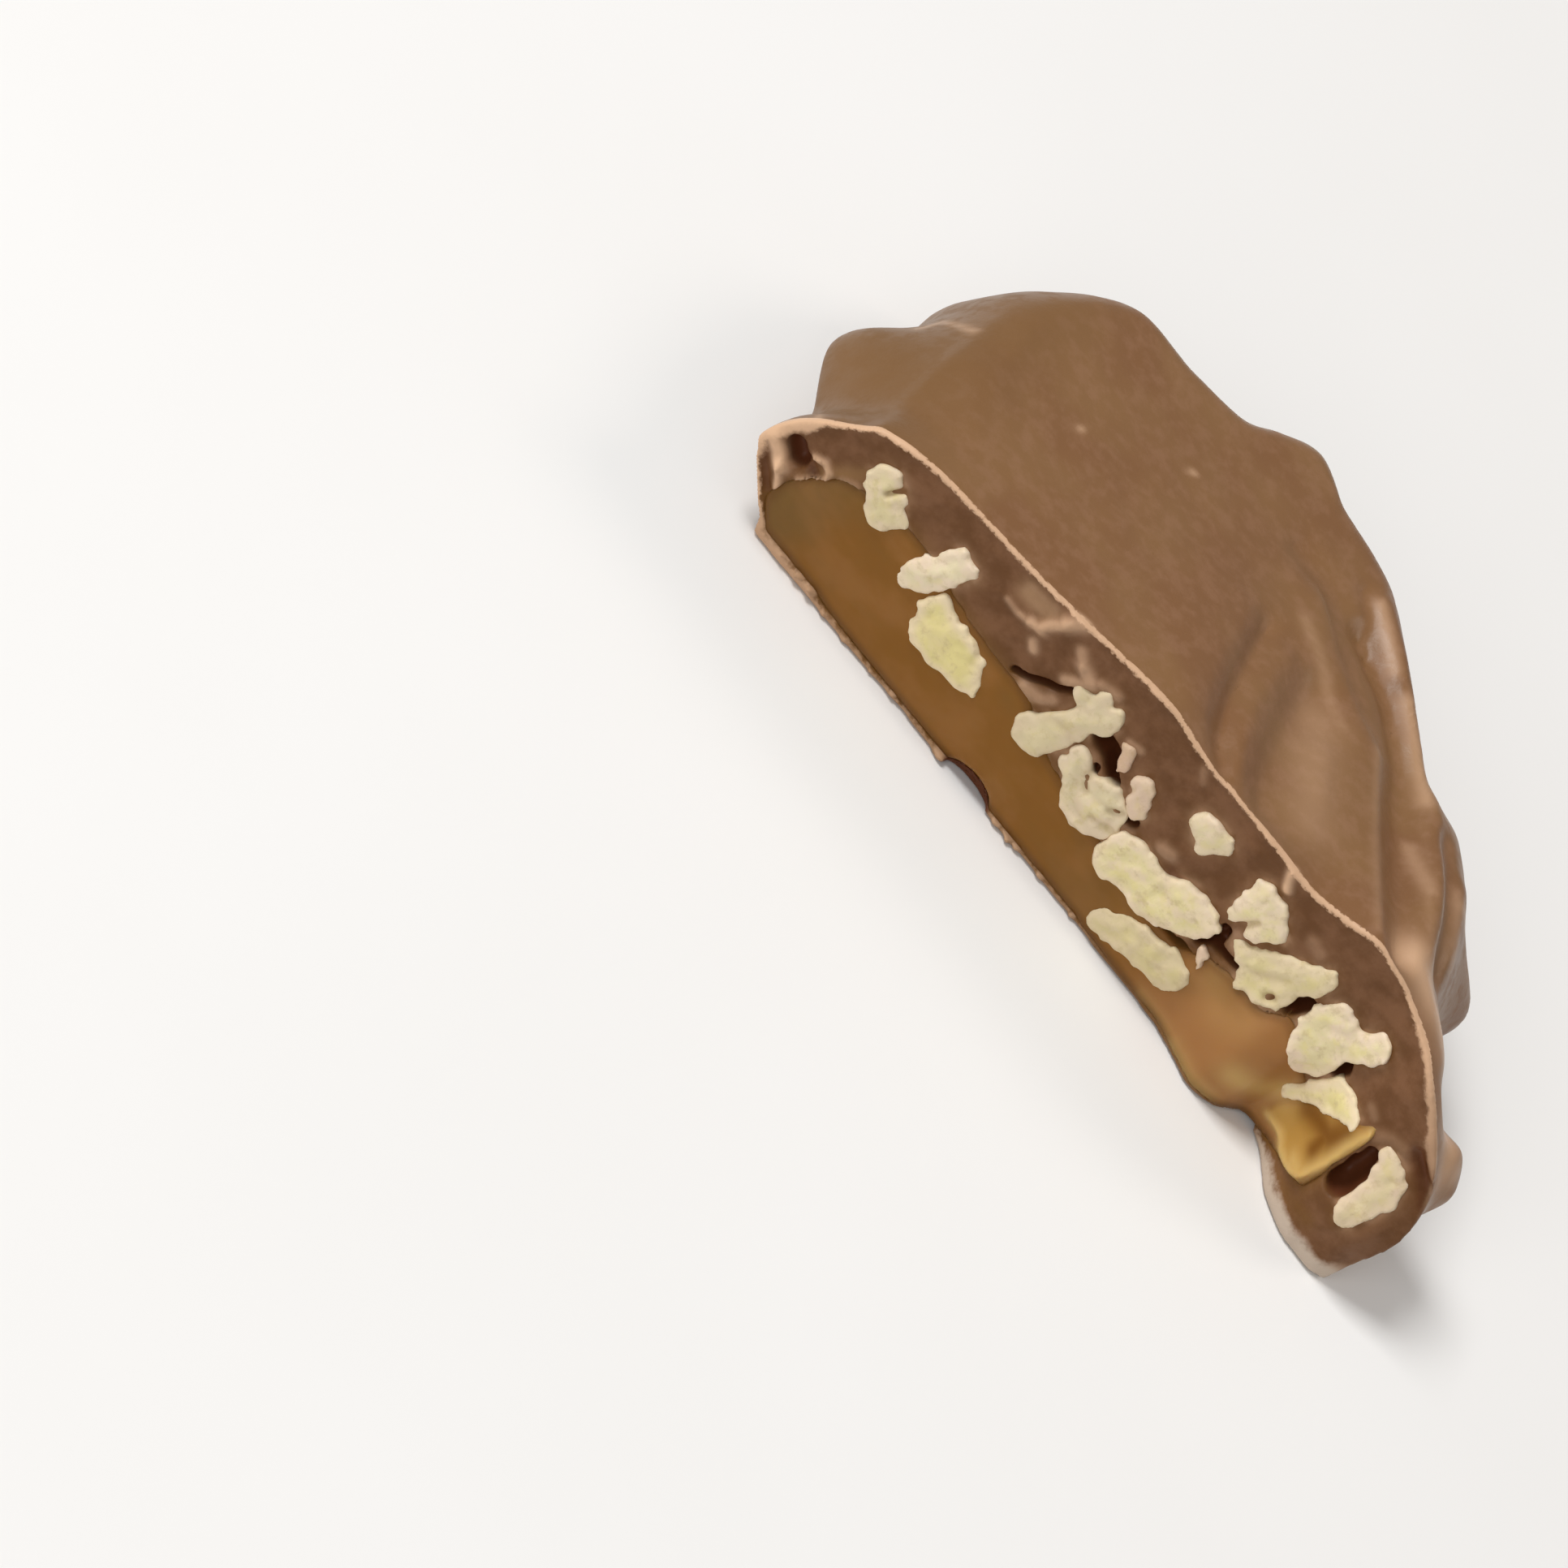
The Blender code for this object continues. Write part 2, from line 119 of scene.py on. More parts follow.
@dataclass
class Grain:
    """Smooth seeded noise in space, from -1 to 1."""

    seed: int
    cells: int = 24
    table: Array = field(init=False, repr=False)

    def __post_init__(self) -> None:
        """Draw the table of values."""
        draws = np.random.default_rng(self.seed)
        self.table = draws.uniform(-1.0, 1.0, (self.cells,) * 3).astype(np.float32)

    def at(self, x: Array, y: Array, z: Array, size: float) -> Array:
        """Read the noise.

        Args:
            x: Places along X, in millimetres.
            y: Places along Y.
            z: Places along Z.
            size: Millimetres from one value to the next.

        Returns:
            The noise at each place.
        """
        corners = []
        for place in (x, y, z):
            scaled = np.asarray(place, dtype=float) / size
            whole = np.floor(scaled).astype(int)
            part = scaled - whole
            part = part * part * (3 - 2 * part)
            corners.append(((whole % self.cells, 1 - part), ((whole + 1) % self.cells, part)))
        total = 0.0
        for x_index, x_share in corners[0]:
            for y_index, y_share in corners[1]:
                for z_index, z_share in corners[2]:
                    total = total + self.table[x_index, y_index, z_index] * x_share * y_share * z_share
        return total


def segment_distance(start: Place, end: Place, x: Array, z: Array) -> Array:
    """Distance from a straight line between two points.

    Args:
        start: The line's start, (x, z) in millimetres.
        end: Its end.
        x: Places along X.
        z: Places along Z.

    Returns:
        The distance at each place.
    """
    (ax, az), (bx, bz) = start, end
    run_x, run_z = bx - ax, bz - az
    length = max(run_x**2 + run_z**2, TINY)
    part = np.clip(((x - ax) * run_x + (z - az) * run_z) / length, 0.0, 1.0)
    return np.hypot(x - ax - part * run_x, z - az - part * run_z)


def path_distance(points: Sequence[Place], x: Array, z: Array) -> Array:
    """Distance from an open path of (x, z) points, in millimetres, at each place."""
    return np.minimum.reduce([segment_distance(start, end, x, z) for start, end in zip(points, points[1:])])


def rounded_outline(points: Sequence[Place], steps: int = 5) -> Array:
    """Run a smooth closed curve through an outline's points.

    Args:
        points: The outline's corners in order.
        steps: Points of the curve for each corner.

    Returns:
        The curve's points.
    """
    here = np.array(points, dtype=float)
    before, after, later = np.roll(here, 1, 0), np.roll(here, -1, 0), np.roll(here, -2, 0)
    rows = []
    for part in np.arange(steps) / steps:
        bend = (2 * before - 5 * here + 4 * after - later) * part**2
        twist = (3 * here - before - 3 * after + later) * part**3
        rows.append(0.5 * (2 * here + (after - before) * part + bend + twist))
    return np.stack(rows, axis=1).reshape(-1, 2)


def outline_distance(curve: Array, x: Array, z: Array) -> Array:
    """Signed distance from a closed curve, below 0 inside.

    Args:
        curve: The curve's points.
        x: Places along X.
        z: Places along Z.

    Returns:
        The distance at each place.
    """
    best = np.full(np.broadcast(x, z).shape, np.inf)
    inside = np.zeros(best.shape, dtype=bool)
    for (ax, az), (bx, bz) in zip(curve, np.roll(curve, -1, 0)):
        best = np.minimum(best, segment_distance((ax, az), (bx, bz), x, z))
        rise = bz - az if abs(bz - az) > TINY else TINY
        inside ^= ((az > z) != (bz > z)) & (x < ax + (z - az) * (bx - ax) / rise)
    return np.where(inside, -best, best)


def graded(start: float, fine_to: float, stop: float, fine: float, coarse: float) -> Array:
    """Positions that stand close up to a place and then spread.

    Args:
        start: First position, in millimetres.
        fine_to: Where the close spacing ends.
        stop: Where the positions end.
        fine: The close spacing.
        coarse: The wide spacing.

    Returns:
        The positions.
    """
    growth = 1.12
    places = list(np.arange(start, fine_to, fine))
    step = fine
    while places[-1] < stop:
        step = min(step * growth, coarse)
        places.append(places[-1] + step)
    return np.array(places)


@dataclass
class Skin:
    """A closed surface made where a field crosses 0."""

    points: Array
    faces: Array

    @classmethod
    def of_field(cls, x: Array, y: Array, z: Array, values: Array) -> "Skin":
        """Make the surface by placing one point in each cell that the field crosses.

        Args:
            x: Grid positions along X.
            y: Grid positions along Y.
            z: Grid positions along Z.
            values: The field at each grid point, below 0 inside.

        Returns:
            The surface, with its faces turned outwards.
        """
        places = (x, y, z)
        cells = tuple(size - 1 for size in values.shape)
        sums, counts, quads = [], [], []
        for axis in range(3):
            low = np.moveaxis(values, axis, 0)[:-1]
            high = np.moveaxis(values, axis, 0)[1:]
            crossing = np.moveaxis((low < 0) != (high < 0), 0, axis)
            index = np.argwhere(crossing)
            step = np.eye(3, dtype=int)[axis]
            first = values[tuple(index.T)]
            second = values[tuple((index + step).T)]
            part = first / (first - second)
            spot = np.stack([places[k][index[:, k]] for k in range(3)], axis=1)
            spot[:, axis] += part * (places[axis][index[:, axis] + 1] - places[axis][index[:, axis]])
            across, up = (axis + 1) % 3, (axis + 2) % 3
            corner_ids = []
            for back, down in ((1, 1), (0, 1), (0, 0), (1, 0)):
                cell = index.copy()
                cell[:, across] -= back
                cell[:, up] -= down
                flat = np.ravel_multi_index(tuple(np.clip(cell, 0, np.array(cells) - 1).T), cells)
                corner_ids.append(flat)
                sums.append((flat, spot))
            quad = np.stack(corner_ids, axis=1)
            quads.append(np.where((first < 0)[:, None], quad, quad[:, ::-1]))
        flat = np.concatenate([pair[0] for pair in sums])
        spots = np.concatenate([pair[1] for pair in sums])
        used, where, counts = np.unique(flat, return_inverse=True, return_counts=True)
        points = np.stack([np.bincount(where, spots[:, k]) / counts for k in range(3)], axis=1)
        faces = np.searchsorted(used, np.concatenate(quads))
        return cls(points, faces)

    def normals(self) -> Array:
        """Outward directions at the points.

        Returns:
            One unit vector for each point.
        """
        a, b, c, d = (self.points[self.faces[:, k]] for k in range(4))
        facing = np.cross(c - a, d - b)
        total = np.zeros_like(self.points)
        for k in range(4):
            for axis in range(3):
                total[:, axis] += np.bincount(self.faces[:, k], facing[:, axis], len(total))
        return total / np.maximum(np.linalg.norm(total, axis=1, keepdims=True), TINY)

    def relax(self, rounds: int, share: Array | float = 0.5) -> None:
        """Even out the points along the surface.

        Args:
            rounds: How many times each point moves.
            share: How far it moves towards the middle of its neighbours, the same for all or one for each.
        """
        edges = np.concatenate([self.faces[:, [k, (k + 1) % 4]] for k in range(4)])
        starts = np.concatenate([edges[:, 0], edges[:, 1]])
        stops = np.concatenate([edges[:, 1], edges[:, 0]])
        counts = np.maximum(np.bincount(starts, minlength=len(self.points)), 1)
        for _ in range(rounds):
            sums = [np.bincount(starts, self.points[stops, k], len(self.points)) for k in range(3)]
            self.points += (np.stack(sums, axis=1) / counts[:, None] - self.points) * share

    def add(self, name: str, marks: dict[str, Array], finish: bpy.types.Material) -> bpy.types.Object:
        """Turn the surface into an object in the part's frame.

        Args:
            name: The object's name.
            marks: Amounts at the points that the finish reads, by name.
            finish: The object's material.

        Returns:
            The object.
        """
        mesh = bpy.data.meshes.new(name)
        in_frame = (self.points - np.array([*BOX_MIDDLE, 0.0])) * MM
        mesh.from_pydata(in_frame.tolist(), [], self.faces.tolist())
        mesh.validate()
        for mark, amounts in marks.items():
            layer = mesh.attributes.new(mark, "FLOAT", "POINT")
            layer.data.foreach_set("value", np.asarray(amounts, dtype=np.float32))
        mesh.shade_smooth()
        mesh.materials.append(finish)
        made = bpy.data.objects.new(name, mesh)
        bpy.context.scene.collection.objects.link(made)
        return made


@dataclass(frozen=True)
class Ridge:
    """A long ripple in the top, or a groove where its height is negative, from the back to the cut.

    Its sides to the west, towards -X, and to the east have widths of their own.
    """

    path: Sequence[Place]
    height: float
    west: float
    east: float

    def rise(self, x: Array, y: Array) -> Array:
        """Height of the ripple, which may be steep on one side and gentle on the other.

        Args:
            x: Places along X.
            y: Places along Y.

        Returns:
            Its height at each place.
        """
        shape = np.broadcast(x, y).shape
        best = np.full(shape, np.inf)
        width = np.full(shape, self.west)
        for (ax, ay), (bx, by) in zip(self.path, self.path[1:]):
            away = segment_distance((ax, ay), (bx, by), x, y)
            across = ((y - ay) * (bx - ax) - (x - ax) * (by - ay)) / math.hypot(bx - ax, by - ay)
            eastward = 0.5 + 0.5 * np.clip(across / np.maximum(away, TINY), -1.0, 1.0)
            width = np.where(away < best, self.west + (self.east - self.west) * eastward, width)
            best = np.minimum(best, away)
        return self.height * bell(best, width)


@dataclass(frozen=True)
class Knob:
    """A rounded knob on the rim, over a nut underneath."""

    angle: float
    height: float
    reach: float
    spread: float
    tall: float


@dataclass(frozen=True)
class PattyForm:
    """The patty's outer form and the place of its cut, in millimetres and degrees."""

    # Heights above the foot, how the top falls to the back, and how the caramel is shut in
    widest_height: float = 5.6
    back_height: float = 15.2
    back_distance: float = 28.0
    caramel_depth_height: float = 6.5
    start_angle: float = -45.0
    foot_softness: float = 0.35
    caramel_floor: Knots = (
        (-45, 1.0), (-23, 1.0), (-21, 0.7), (-12, 0.6), (-2, 0.5), (22.3, 0.5), (24.5, 1.2), (26.0, 2.4),
        (28.0, 3.4), (45, 3.6),
    )
    caramel_cover: float = 0.8
    back_cover: float = 1.7
    cover_grows: tuple[float, float] = (4.0, 10.0)
    taper: float = 0.55
    taper_height: float = 2.6
    side_softness: float = 0.5
    top_softness: float = 1.2
    floor_softness: float = 0.3
    low_cut_height: float = 3.5
    high_cut_height: float = 11.0
    # The rim's distance from the middle, and what is set off from it, by the angle round the patty
    rim: Knots = (
        (-45, 34.0), (-20, 34.0), (-8, 34.6), (0, 33.4), (5, 31.2), (10, 28.8), (16, 27.8), (23, 28.7),
        (37, 29.8), (47, 30.2), (56, 28.6), (64, 29.6), (71, 31.0), (78, 33.1), (85, 35.2), (95, 36.2),
        (101, 38.5), (106, 37.3), (112, 35.8), (120, 37.0), (128, 39.8), (137, 39.0), (144, 37.9),
        (150, 36.1), (158, 34.5), (166, 32.8), (171, 31.9), (180, 33.2), (200, 33.5), (315, 34.0),
    )
    shoulder: Knots = (
        (-45, 9.0), (20, 9.0), (45, 8.0), (80, 5.5), (100, 4.2), (128, 4.4), (150, 6.2), (180, 10.0),
        (315, 10.0),
    )
    foot_inset: Knots = ((-45, 0.8), (0, 0.8), (12, 1.6), (30, 3.0), (90, 4.0), (180, 4.8), (315, 0.8))
    # How the foot's inset fades, as shares, up to the widest height
    underside: Knots = ((0.0, 1.0), (0.2, 0.9), (0.45, 0.58), (0.72, 0.24), (1.0, 0.0))
    # How far the caramel ends inside the rim, by the angle
    caramel_inset: Knots = ((-45, 7.0), (5, 6.8), (25, 4.5), (60, 3.0), (150, 2.6), (180, 3.6), (315, 7.0))
    # Along the cut: the heights of the top and of the caramel, and how far the cut stands in Y
    top_line: Knots = (
        (-36, 13.6), (-30.5, 14.0), (-29.5, 14.4), (-28.7, 15.0), (-27.5, 14.9), (-26, 14.9), (-22, 15.2),
        (-16, 15.7), (-10, 16.5), (-3, 17.4), (1, 16.9), (7, 17.0), (12, 16.7), (15, 17.3), (18, 18.2),
        (20, 17.9), (22, 17.3), (26, 16.2), (30, 14.9), (36, 14.0),
    )
    caramel_line: Knots = (
        (-32, 3.4), (-30.6, 4.2), (-29.6, 5.4), (-28.6, 6.8), (-27.4, 8.4), (-26, 9.0), (-24, 9.5),
        (-22, 10.0), (-20, 10.0), (-17, 9.2), (-12, 8.8), (-9, 8.7), (-7.5, 7.8), (-5, 6.8), (2, 5.6),
        (10, 5.1), (12, 6.6), (14, 7.2), (16.6, 7.6), (18.4, 8.8), (19.6, 8.2), (21.4, 6.8), (23, 5.6),
        (25, 5.4), (28, 6.0), (36, 6.0),
    )
    low_cut: Knots = (
        (-45, 0.0), (4, 0.0), (8, -0.3), (13, -0.4), (16, -1.3), (18, -1.9), (20, -1.4), (22.3, 0.6),
        (24, 0.0), (27, -3.0), (30, -4.3), (32, -4.4), (34, -3.6), (45, -2.6),
    )
    high_cut: Knots = ((-45, 0.0), (21, 0.0), (24, -0.6), (27, -2.0), (30, -2.6), (45, -2.6))
    ridges: tuple[Ridge, ...] = (
        Ridge(((-3.6, 13.9), (-3.2, 8.1), (-2.2, 3.8), (-0.8, 1.0)), 0.3, 3.6, 1.2),
        Ridge(((-1.5, 16.0), (-0.9, 10.6), (-0.2, 6.3), (1.0, 3.2), (2.7, 0.0)), -0.5, 1.0, 0.55),
        Ridge(((0.6, 15.0), (0.9, 9.7), (1.7, 5.3), (3.2, 1.6)), 0.3, 0.7, 1.4),
        Ridge(((4.0, 15.4), (4.3, 9.7), (5.0, 5.3), (6.2, 1.6)), -0.85, 1.8, 2.8),
        Ridge(((7.0, 11.6), (7.8, 9.4), (8.8, 7.7)), 0.16, 1.3, 0.5),
        Ridge(
            ((-0.2, 22.5), (3.2, 19.2), (6.2, 17.2), (9.4, 15.8), (12.1, 10.4), (14.6, 5.2), (16.6, 0.8)),
            0.6, 3.0, 1.1,
        ),
        Ridge(
            ((4.0, 25.0), (8.6, 22.4), (12.0, 18.4), (14.4, 13.4), (16.8, 8.0), (19.2, 1.6)),
            -1.1, 1.6, 1.0,
        ),
        Ridge(
            ((3.3, 28.6), (8.3, 25.0), (12.0, 21.2), (15.4, 16.4), (18.0, 10.8), (20.6, 5.2)),
            0.5, 0.7, 1.2,
        ),
        Ridge(((1.8, 28.3), (5.3, 24.8)), -0.35, 0.6, 0.6),
        Ridge(((17.0, 15.6), (19.6, 11.4), (22.2, 6.4)), -0.6, 0.9, 0.9),
        Ridge(((20.2, 14.4), (22.6, 9.6), (24.6, 4.6)), 0.45, 0.9, 1.8),
        Ridge(((-3.4, 25.4), (1.0, 25.0)), -0.4, 1.3, 1.3),
        Ridge(((28.6, -1.0), (30.6, 8.0)), -2.6, 2.0, 1.4),
        Ridge(((32.4, 0.0), (33.2, 6.0)), 2.0, 1.0, 1.0),
    )
    bare_cut: tuple[float, float] = (-1.0, 2.6)
    knobs: tuple[Knob, ...] = (
        Knob(4.8, 8.8, 3.6, 2.6, 3.6),
        Knob(31.0, 7.5, 3.3, 2.8, 4.2),
        Knob(47.0, 8.0, 0.6, 2.6, 4.0),
        Knob(101.0, 9.0, 1.6, 2.6, 5.0),
        Knob(86.0, 5.0, 1.0, 3.0, 4.0),
        Knob(118.0, 4.5, 1.2, 3.4, 3.4),
        Knob(141.0, 5.5, 1.0, 3.2, 3.6),
        Knob(160.0, 6.0, 2.6, 4.0, 4.4),
    )

    def turn(self, x: Array, y: Array) -> Array:
        """Angle round the patty from +X, in degrees from the start angle on."""
        return (np.degrees(np.arctan2(y, x)) - self.start_angle) % 360.0 + self.start_angle

    def top(self, x: Array, y: Array) -> Array:
        """Height of the top.

        Args:
            x: Places along X.
            y: Places along Y.

        Returns:
            The height at each place.
        """
        share = smooth_step(0.0, self.back_distance, y)
        height = through(self.top_line, x) * (1 - share) + self.back_height * share
        ripples = sum(ridge.rise(x, y) for ridge in self.ridges)
        return height + ripples * smooth_step(*self.bare_cut, y)

    def cut(self, x: Array, z: Array) -> Array:
        """Where the cut stands in Y at each place along X and Z."""
        share = smooth_step(self.low_cut_height, self.high_cut_height, z)
        return through(self.low_cut, x) * (1 - share) + through(self.high_cut, x) * share

    def flank(self, x: Array, y: Array, z: Array) -> Array:
        """Distance from the outer form without its foot, below 0 inside it.

        Args:
            x: Places along X.
            y: Places along Y.
            z: Places along Z.

        Returns:
            The distance at each place.
        """
        angle = self.turn(x, y)
        rim = through(self.rim, angle)
        shoulder = through(self.shoulder, angle)
        foot = through(self.foot_inset, angle)
        rise, share = np.array(self.underside).T
        inset = np.interp(z, rise * self.widest_height, share)
        knobs = 0.0
        for knob in self.knobs:
            along = rim * np.radians(angle - knob.angle)
            knobs = knobs + knob.reach * bell(along, knob.spread) * bell(z - knob.height, knob.tall)
        away = np.hypot(x, y)
        low = away - (rim - foot * inset + (1 - inset) * knobs)
        reach = shoulder + knobs
        tall = self.top(x, y) - self.widest_height
        out = np.maximum(away - (rim - shoulder), 0.0) / reach
        up = np.maximum(z - self.widest_height, 0.0) / tall
        level = np.hypot(out, up)
        slope = np.hypot(out / reach, up / tall)
        # Near the middle, where the slope fades, any distance far below 0 will do
        high = np.where(level > 0.05, (level - 1) * level / np.maximum(slope, TINY), -5.0)
        return np.where(z < self.widest_height, low, high)

    def outside(self, x: Array, y: Array, z: Array) -> Array:
        """Distance from the outer form with its foot, below 0 inside it."""
        return meet(self.flank(x, y, z), -z, self.foot_softness)

    def caramel(self, x: Array, y: Array, z: Array) -> Array:
        """Distance from the caramel layer's form, below 0 inside it.

        Args:
            x: Places along X.
            y: Places along Y.
            z: Places along Z.

        Returns:
            The distance at each place.
        """
        angle = self.turn(x, y)
        widest = through(self.rim, angle) - through(self.caramel_inset, angle)
        share = smooth_step(0.0, self.back_distance, y)
        height = through(self.caramel_line, x) * (1 - share) + self.caramel_depth_height * share
        taper = self.taper * np.maximum(self.taper_height - z, 0.0)
        # The wall is thicker at the back, where the mesh is too coarse for a thin one over the undercut
        grown = smooth_step(*self.cover_grows, y)
        cover = self.caramel_cover + (self.back_cover - self.caramel_cover) * grown
        side = meet(np.hypot(x, y) - (widest - taper), self.flank(x, y, z) + cover, self.side_softness)
        under_top = meet(side, z - height, self.top_softness)
        return meet(under_top, through(self.caramel_floor, x) - z, self.floor_softness)


FORM = PattyForm()


@dataclass(frozen=True)
class Sight:
    """The camera's place, which also gives where on the cut a thing seen in the photograph lies."""

    azimuth: float = -8.0
    elevation: float = 38.0
    roll: float = 55.4588
    distance: float = 520.0
    lens_px: float = 9703.2
    picture_px: float = 1932.0
    aim_px: Place = (1264.2, 1063.6)
    # How far a thing lies from where it is seen, for each millimetre that the cut stands in Y
    drift_x: float = 0.141
    drift_z: float = 0.79
    rounds: int = 40

    def back(self) -> Array:
        """The direction back to the camera from what it looks at.

        Returns:
            A unit vector.
        """
        azimuth, elevation = math.radians(self.azimuth), math.radians(self.elevation)
        level = math.cos(elevation)
        return np.array([math.sin(azimuth) * level, -math.cos(azimuth) * level, math.sin(elevation)])

    def axes(self) -> Array:
        """The camera's right, up and back directions, as rows.

        Returns:
            A 3 by 3 array.
        """
        azimuth, roll, back = math.radians(self.azimuth), math.radians(self.roll), self.back()
        level = np.array([math.cos(azimuth), math.sin(azimuth), 0.0])
        upright = np.cross(back, level)
        right = math.cos(roll) * level + math.sin(roll) * upright
        up = -math.sin(roll) * level + math.cos(roll) * upright
        # The shortest turn that brings what it looks at from the picture's middle to its own pixel
        middle = self.picture_px / 2
        aside, above = (self.aim_px[0] - middle) / self.lens_px, (middle - self.aim_px[1]) / self.lens_px
        aim = np.array([aside, above, -1.0])
        aim /= np.linalg.norm(aim)
        ahead = np.array([0.0, 0.0, -1.0])
        cross = np.cross(ahead, aim)
        turn = np.array([[0, -cross[2], cross[1]], [cross[2], 0, -cross[0]], [-cross[1], cross[0], 0]])
        return (np.eye(3) + turn + turn @ turn / (1 + ahead @ aim)) @ np.stack([right, up, back])

    def place(self) -> Array:
        """The camera's place, in millimetres."""
        return self.back() * self.distance

    def on_cut(self, points: Sequence[Place]) -> list[Place]:
        """Move points that are seen against the plane Y = 0 to where they lie on the cut.

        Args:
            points: (x, z) pairs as seen.

        Returns:
            (x, z) pairs on the cut.
        """
        seen_x, seen_z = np.array(points, dtype=float).T
        x, z = seen_x, seen_z
        for _ in range(self.rounds):
            y = FORM.cut(x, z)
            x = 0.5 * x + 0.5 * (seen_x + self.drift_x * y)
            z = 0.5 * z + 0.5 * (seen_z - self.drift_z * y)
        return [(float(a), float(b)) for a, b in zip(x, z)]


SIGHT = Sight()


@dataclass(frozen=True)
class Streak:
    """A raised pale flake, a fold or a furrow on the cut, along a path as it is seen."""

    path: Sequence[Place]
    width: float
    rise: float
    # Below 0, it paints shade into a furrow in place of a pale colour
    pale: float = 0.0
    stain: float = 0.0

    def shape(self, x: Array, z: Array, spread: float = 1.0) -> Array:
        """How much of it each place has, with its width times the spread."""
        return bell(path_distance(SIGHT.on_cut(self.path), x, z), self.width * spread)


@dataclass(frozen=True)
class Pit:
    """A crack or a hole in the cut, along a path as it is seen."""

    path: Sequence[Place]
    width: float
    depth: float


@dataclass(frozen=True)
class NutShape:
    """One pecan piece: its outline as it is seen, its slits, and how it sits in the cut."""

    name: str
    outline: Sequence[Place]
    depth: float
    tone: float
    proud: float = 0.3
    dust: float = 0.0
    dull: float = 0.0
    slits: tuple[Streak, ...] = ()

    def curve(self) -> Array:
        """Its outline on the cut, as a smooth curve."""
        return rounded_outline(SIGHT.on_cut(self.outline))


